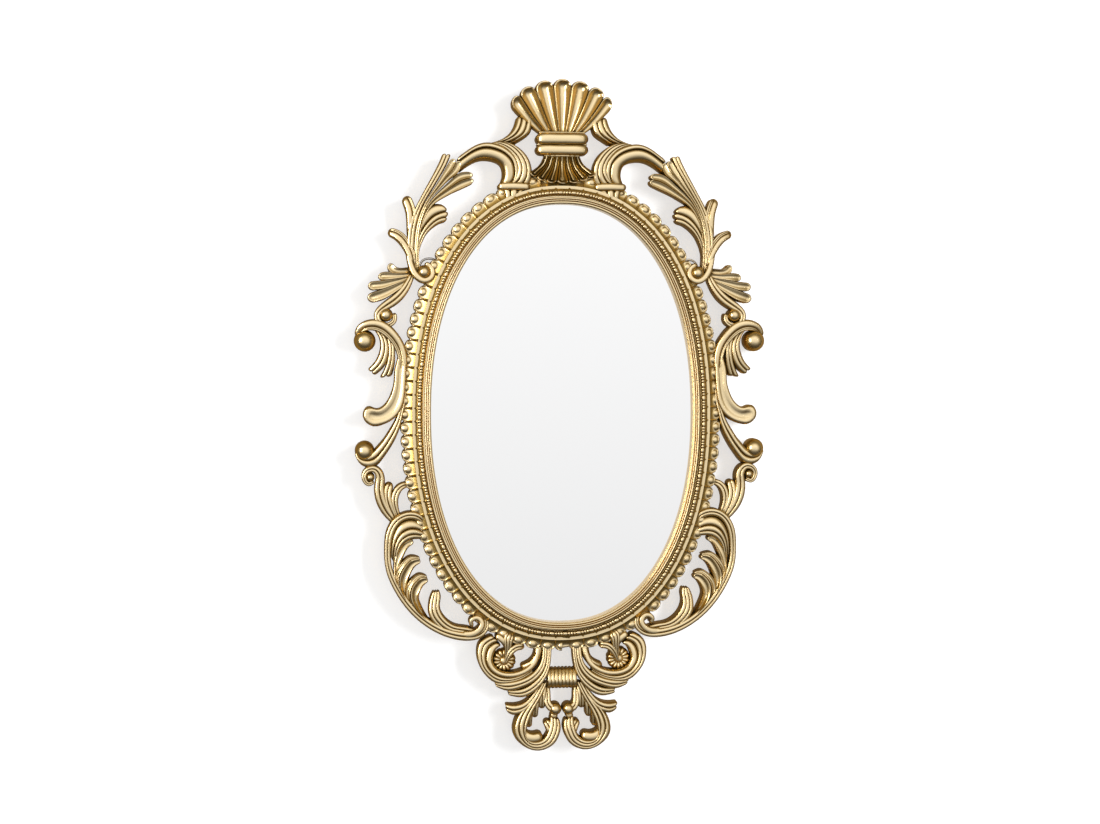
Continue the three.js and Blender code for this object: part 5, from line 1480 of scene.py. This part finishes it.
def reeds():
    """The cross bar's upright reeds, side by side."""
    rows = [(-287.5, 17.5), (-294.5, 22), (-306, 22), (-310.5, 18)]
    places = (np.arange(REEDS) - (REEDS - 1) / 2) * REED_PITCH
    return [stroke([[x, z, REED_WIDTH, height] for z, height in rows]) for x in places]


# ---------------------------------------------------------------- fittings on the back


def screw_solid(x, z, head_low, head_high, radius, point):
    """A pan-head screw: the head is a low dome with a cross recess, and the shank ends in a point."""
    turn = np.linspace(0.04, 1, 15)
    angle = once_round(48)
    u = radius * turn[:, None] * np.cos(angle)
    v = radius * turn[:, None] * np.sin(angle)
    dome = head_high - (head_high - head_low) * (1 - turn[:, None] ** 3)
    cross = np.maximum(
        np.clip(1.6 - 4 * np.abs(u), 0, 1) * np.clip(6.4 - 3.4 * np.abs(v), 0, 1),
        np.clip(1.6 - 4 * np.abs(v), 0, 1) * np.clip(6.4 - 3.4 * np.abs(u), 0, 1),
    )
    level = dome + 0.75 * cross * (turn[:, None] < 0.8)
    head = np.stack([x + u, -level, z + v], axis=-1)
    shank = radius * 0.45
    rows = [(radius, head_high), (shank, head_high), (shank, point - 2), (0.05, point)]
    cos, sin = np.cos(angle), np.sin(angle)
    rest = [np.stack([x + r * cos, np.full(len(angle), -h), z + r * sin], axis=-1) for r, h in rows]
    return tube_skin(np.concatenate([head, np.array(rest)]))


STRAP_THICK = 1.2
EYE_LAP = 6  # how far the strap's plate runs down from its hinge before the foot begins
HEAD_RISE = 1.7  # of a screw's head
FOOT_ROUND = 1.2  # of a bumper's rear edge
RING_CORNER = 3


class MIRROR_OT_fittings(bpy.types.Operator):
    """Fixes the screws, hanger straps, rings and rubber bumpers to the back"""

    bl_idname = "mirror.fittings"
    bl_label = "Back Fittings"

    def execute(self, context):
        nodes = [f"board_screw_{i}" for i in range(1, 9)]
        nodes += [f"hanger_screw_{i}_{side}" for i in (1, 2) for side in ("right", "left")]
        for node in nodes:
            low, high = node_box(node)
            x, z = (low[0] + high[0]) / 2, (low[2] + high[2]) / 2
            radius = (high[0] - low[0]) / 2
            solid = screw_solid(x, z, -high[1], -high[1] + HEAD_RISE, radius, -low[1])
            piece = mesh_object(node + "_head", *solid, "zinc", smooth=35)
            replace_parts(piece, node)
        for side in ("right", "left"):
            self.bumper(side)
            self.strap(side)
            self.ring(side)
        return {"FINISHED"}

    def bumper(self, side):
        """A turned rubber foot with rounded edges."""
        node = f"bumper_{side}"
        low, high = node_box(node)
        x, z = (low[0] + high[0]) / 2, (low[2] + high[2]) / 2
        r = (high[0] - low[0]) / 2
        edge = arc((r - FOOT_ROUND, -high[1] + FOOT_ROUND), FOOT_ROUND, -90, 0, 8)
        solid = turned_solid([(0, -high[1]), (r - 3, -high[1]), *edge, (r, -low[1]), (0, -low[1])], x, z)
        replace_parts(mesh_object(node + "_foot", *solid, "rubber", smooth=40), node)

    def strap(self, side):
        """A plate with a half-round foot, rolled into an eye along its top edge."""
        node = f"hanger_strap_{side}"
        low, high = node_box(node)
        ring_low, ring_high = node_box(f"hanger_ring_{side}")
        x, half = (low[0] + high[0]) / 2, (high[0] - low[0]) / 2
        outer = (high[1] - low[1]) / 2
        hinge_y, hinge_z = (low[1] + high[1]) / 2, high[2] - outer
        # The plate's half width at each height down it, square at the top and half round at the foot.
        turn = np.linspace(0, np.pi / 2, 14)
        down = np.concatenate([[hinge_z, hinge_z - EYE_LAP], low[2] + half * (1 - np.sin(turn))])
        wide = np.concatenate([[half, half], np.maximum(half * np.cos(turn), 0.05)])
        corner = np.array([[-1, low[1]], [1, low[1]], [1, low[1] + STRAP_THICK], [-1, low[1] + STRAP_THICK]])
        shape = (len(down), 4)
        rings = np.stack(
            [
                x + wide[:, None] * corner[None, :, 0],
                np.broadcast_to(corner[None, :, 1], shape),
                np.broadcast_to(down[:, None], shape),
            ],
            axis=-1,
        )
        plate = tube_skin(rings)
        sweep = np.radians(np.linspace(-90, 250, 40))
        ringwall = np.stack(
            [
                np.stack([hinge_y + r * np.sin(sweep), hinge_z + r * np.cos(sweep)], axis=-1)
                for r in (outer, outer - STRAP_THICK)
            ]
        )
        loop = np.concatenate([ringwall[0], ringwall[1][::-1]])
        across_x = np.array([x - half, x + half])
        eye_points = np.stack([np.concatenate([np.full((len(loop), 1), at), loop], axis=1) for at in across_x])
        eye = eye_skin(eye_points, len(sweep))
        mesh = fused(node + "_plate", [plate, eye])
        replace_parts(finish_piece(node + "_plate", mesh, "zinc", smooth=35), node)

    def ring(self, side):
        """A D of round wire: its straight side runs through the eye and the rest is a bow."""
        node = f"hanger_ring_{side}"
        low, high = node_box(node)
        wire = (high[1] - low[1]) / 2
        x, y = (low[0] + high[0]) / 2, (low[1] + high[1]) / 2
        half = (high[0] - low[0]) / 2 - wire
        base = low[2] + wire
        tall = high[2] - wire - base
        # Half the loop: along the straight side, round a corner and up a superellipse to the top.
        straight = np.stack([np.linspace(0, half - RING_CORNER, 8), np.zeros(8)], axis=-1)
        turn = np.linspace(0, np.pi / 2, 8)
        bend = np.stack([half - RING_CORNER * (1 - np.sin(turn)), RING_CORNER * (1 - np.cos(turn))], axis=-1)
        turn = np.linspace(0, np.pi / 2, 26)[1:]
        rise = tall - RING_CORNER
        bow = np.stack([half * np.cos(turn) ** 0.9, RING_CORNER + rise * np.sin(turn) ** 0.9], axis=-1)
        right = np.concatenate([straight, bend[1:], bow])
        left = right[-2:0:-1] * np.array([-1, 1])
        path = np.concatenate([right, left])
        tangent = np.roll(path, -1, axis=0) - np.roll(path, 1, axis=0)
        tangent /= np.linalg.norm(tangent, axis=1)[:, None]
        sideways = np.stack([tangent[:, 1], -tangent[:, 0]], axis=-1)
        angle = once_round(16)
        loop = np.stack(
            [
                x + path[:, :1] + sideways[:, :1] * wire * np.cos(angle),
                np.broadcast_to(y + wire * np.sin(angle), (len(path), len(angle))),
                base + path[:, 1:] + sideways[:, 1:] * wire * np.cos(angle),
            ],
            axis=-1,
        )
        piece = closed_grid(node + "_wire", loop, "zinc", body=f"ring_{side}", smooth=60)
        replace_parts(piece, node)


def eye_skin(rows, count):
    """A rolled wall between two like rows of points: the outer arc first, then the inner one back."""
    points = rows.reshape(-1, 3)
    size = 2 * count
    side = triangles_of(grid_faces(2, size, False, True))
    j = np.arange(count - 1)
    cap = np.stack([j, j + 1, size - 2 - j, size - 1 - j], axis=-1)
    caps = np.concatenate([triangles_of(cap), triangles_of(cap + size)[:, ::-1]])
    for flip in (caps, caps[:, ::-1]):
        triangles = np.concatenate([side, flip])
        edges = np.concatenate([triangles[:, [0, 1]], triangles[:, [1, 2]], triangles[:, [2, 0]]])
        if len(np.unique(edges, axis=0)) == len(edges):
            return points, outward(points, triangles)
    raise RuntimeError("The strap's eye doesn't close")


# ---------------------------------------------------------------- stage

WALL_AT = 0.0061
CAMERA_AT = (-0.2392, -1.985, 0.0866)
CAMERA_TOWARDS = (0.1139, 0.9926, -0.0426)
CAMERA_LENS = 57.81


class MIRROR_OT_stage(bpy.types.Operator):
    """Sets the white wall, two tall softboxes, the pale surroundings and the camera"""

    bl_idname = "mirror.stage"
    bl_label = "Stage"

    WALL_REACH = 4.0
    WALL_GREY = (0.66, 0.66, 0.66)
    WALL_SHADE_IN_REFLECTIONS = (0.2, 0.14, 0.06)  # a dark brown the wall shows only in reflections, painted shade on the carving's side walls
    WALL_LIFT = 0.46  # light of its own that it shows the camera
    # Name, place, share of the side light, and whether it casts shadows or shows in reflections.
    SOFTBOXES = [
        ("left_softbox", (-1.7, -1.5, 0.35), 0.9, False, True),
        ("right_softbox", (1.5, -1.6, 0.45), 1.8, True, False),
    ]
    BOX_WIDTH, BOX_HEIGHT = 0.6, 1.4

    def execute(self, context):
        self.wall()
        self.softboxes(context.scene.mirror_studio.side_light)
        self.world(context.scene.mirror_studio.ambient)
        self.camera()
        context.scene.view_settings.view_transform = "Standard"
        return {"FINISHED"}

    def wall(self):
        """A white wall that keeps shadows, and is clear from behind. In reflections it shows a dark brown,
        painted shade on the carving's side walls.
        """
        reach = self.WALL_REACH
        corners = [(x * reach, WALL_AT, z * reach) for x, z in ((-1, -1), (1, -1), (1, 1), (-1, 1))]
        mesh = bpy.data.meshes.new("wall")
        mesh.from_pydata(corners, [], [(0, 1, 2, 3)])
        material, tree, shader = new_material("wall_paint", 0.0, 0.9)
        direct, glossy = self.ray_kinds(tree)
        paint = mix_colour(tree, glossy, self.WALL_GREY, self.WALL_SHADE_IN_REFLECTIONS)
        tree.links.new(paint, shader.inputs["Base Color"])
        shader.inputs["Specular IOR Level"].default_value = 0.0
        lift = math(tree, "MULTIPLY", math(tree, "MULTIPLY_ADD", glossy, 0.1, direct), self.WALL_LIFT)
        shader.inputs["Emission Color"].default_value = (1, 1, 1, 1)
        tree.links.new(lift, shader.inputs["Emission Strength"])
        geometry = tree.nodes.new("ShaderNodeNewGeometry")
        clear = tree.nodes.new("ShaderNodeBsdfTransparent")
        mix = tree.nodes.new("ShaderNodeMixShader")
        tree.links.new(geometry.outputs["Backfacing"], mix.inputs[0])
        tree.links.new(shader.outputs[0], mix.inputs[1])
        tree.links.new(clear.outputs[0], mix.inputs[2])
        tree.links.new(mix.outputs[0], tree.nodes["Material Output"].inputs["Surface"])
        mesh.materials.append(material)
        wall = bpy.data.objects.new("wall", mesh)
        bpy.context.scene.collection.objects.link(wall)

    def ray_kinds(self, tree):
        """1 for rays from the camera or through glass, else 0, and 1 for reflections, else 0."""
        path = tree.nodes.new("ShaderNodeLightPath")
        direct = math(tree, "MAXIMUM", path.outputs["Is Camera Ray"], path.outputs["Is Transmission Ray"])
        return direct, path.outputs["Is Glossy Ray"]

    def softboxes(self, power):
        """A tall softbox to each side in front of the mirror, the right one stronger."""
        for name, place, share, shadow, reflected in self.SOFTBOXES:
            light = bpy.data.lights.new(name, "AREA")
            light.shape = "RECTANGLE"
            light.size, light.size_y = self.BOX_WIDTH, self.BOX_HEIGHT
            light.energy = power * share
            light.use_shadow = shadow
            box = bpy.data.objects.new(name, light)
            box.visible_glossy = reflected
            box.location = place
            box.rotation_euler = (-Vector(place)).to_track_quat("-Z", "Y").to_euler()
            bpy.context.scene.collection.objects.link(box)

    def world(self, ambient):
        """Even light from all round. Seen directly it is white. In reflections it falls off from white in
        front of the mirror to a warm grey at the sides, and is darker below than above."""
        world = bpy.data.worlds.new("pale_room")
        bpy.context.scene.world = world
        world.use_nodes = True
        tree = world.node_tree
        background = tree.nodes["Background"]
        direct, glossy = self.ray_kinds(tree)
        place = tree.nodes.new("ShaderNodeTexCoord")
        split = tree.nodes.new("ShaderNodeSeparateXYZ")
        tree.links.new(place.outputs["Generated"], split.inputs[0])
        front = math(tree, "MULTIPLY", split.outputs["Y"], -1.0)
        ahead = map_range(tree, front, 0.4, 0.9, 0.1, 1.0, kind="SMOOTHSTEP")
        lean = math(tree, "MULTIPLY_ADD", split.outputs["Z"], 0.62, 0.965)
        lean = math(tree, "MULTIPLY", lean, map_range(tree, split.outputs["Z"], -0.6, -0.17, 0.35))
        reflected = math(tree, "MULTIPLY", math(tree, "MULTIPLY", ahead, lean), glossy)
        other = math(tree, "SUBTRACT", 1.0, math(tree, "MAXIMUM", direct, glossy))
        strength = math(tree, "MULTIPLY_ADD", other, ambient, math(tree, "ADD", reflected, direct))
        dusk = math(tree, "SUBTRACT", 1.0, ahead)
        warm = math(tree, "MULTIPLY", math(tree, "MULTIPLY", dusk, dusk), 2.3)
        warm = math(tree, "MULTIPLY", warm, glossy, clamp=True)
        tree.links.new(mix_colour(tree, warm, (1, 1, 1), (1, 0.78, 0.36)), background.inputs["Color"])
        tree.links.new(strength, background.inputs["Strength"])

    def camera(self):
        """The camera where the photograph was taken from: left of the middle and a little high."""
        data = bpy.data.cameras.new("camera")
        data.lens = CAMERA_LENS
        data.sensor_width = 36
        camera = bpy.data.objects.new("camera", data)
        camera.location = CAMERA_AT
        camera.rotation_euler = Vector(CAMERA_TOWARDS).to_track_quat("-Z", "Y").to_euler()
        bpy.context.scene.collection.objects.link(camera)
        bpy.context.scene.camera = camera


# ---------------------------------------------------------------- add-on

OPERATORS = [
    MIRROR_OT_rail,
    MIRROR_OT_beads,
    MIRROR_OT_slip,
    MIRROR_OT_glass,
    MIRROR_OT_crest,
    MIRROR_OT_crest_scroll,
    MIRROR_OT_upper_spray,
    MIRROR_OT_palmette,
    MIRROR_OT_side_scroll,
    MIRROR_OT_volute,
    MIRROR_OT_acanthus,
    MIRROR_OT_pendant,
    MIRROR_OT_fittings,
    MIRROR_OT_stage,
]


class MIRROR_PT_panel(bpy.types.Panel):
    """The mirror's sizes, finishes and pieces"""

    bl_idname = "MIRROR_PT_panel"
    bl_label = "Oval Wall Mirror"
    bl_space_type = "VIEW_3D"
    bl_region_type = "UI"
    bl_category = "Mirror"

    def draw(self, context):
        for name in ("mirror_sizes", "mirror_finish", "mirror_studio"):
            group = getattr(context.scene, name)
            box = self.layout.box()
            for setting in group.__annotations__:
                box.prop(group, setting)
        for operator in OPERATORS:
            self.layout.operator(operator.bl_idname)


CLASSES = [MirrorSizes, MirrorFinish, MirrorStudio, *OPERATORS, MIRROR_PT_panel]


def register():
    """Adds the classes and the scene's settings."""
    for cls in CLASSES:
        bpy.utils.register_class(cls)
    bpy.types.Scene.mirror_sizes = bpy.props.PointerProperty(type=MirrorSizes)
    bpy.types.Scene.mirror_finish = bpy.props.PointerProperty(type=MirrorFinish)
    bpy.types.Scene.mirror_studio = bpy.props.PointerProperty(type=MirrorStudio)


def unregister():
    """Takes them away again."""
    for name in ("mirror_sizes", "mirror_finish", "mirror_studio"):
        delattr(bpy.types.Scene, name)
    for cls in reversed(CLASSES):
        bpy.utils.unregister_class(cls)


def main():
    """Registers the add-on, makes every piece and the stage."""
    register()
    make_materials()
    for operator in OPERATORS:
        category, name = operator.bl_idname.split(".")
        if getattr(getattr(bpy.ops, category), name)() != {"FINISHED"}:
            raise RuntimeError(f"{operator.bl_label} wasn't made")


if __name__ == "__main__":
    main()
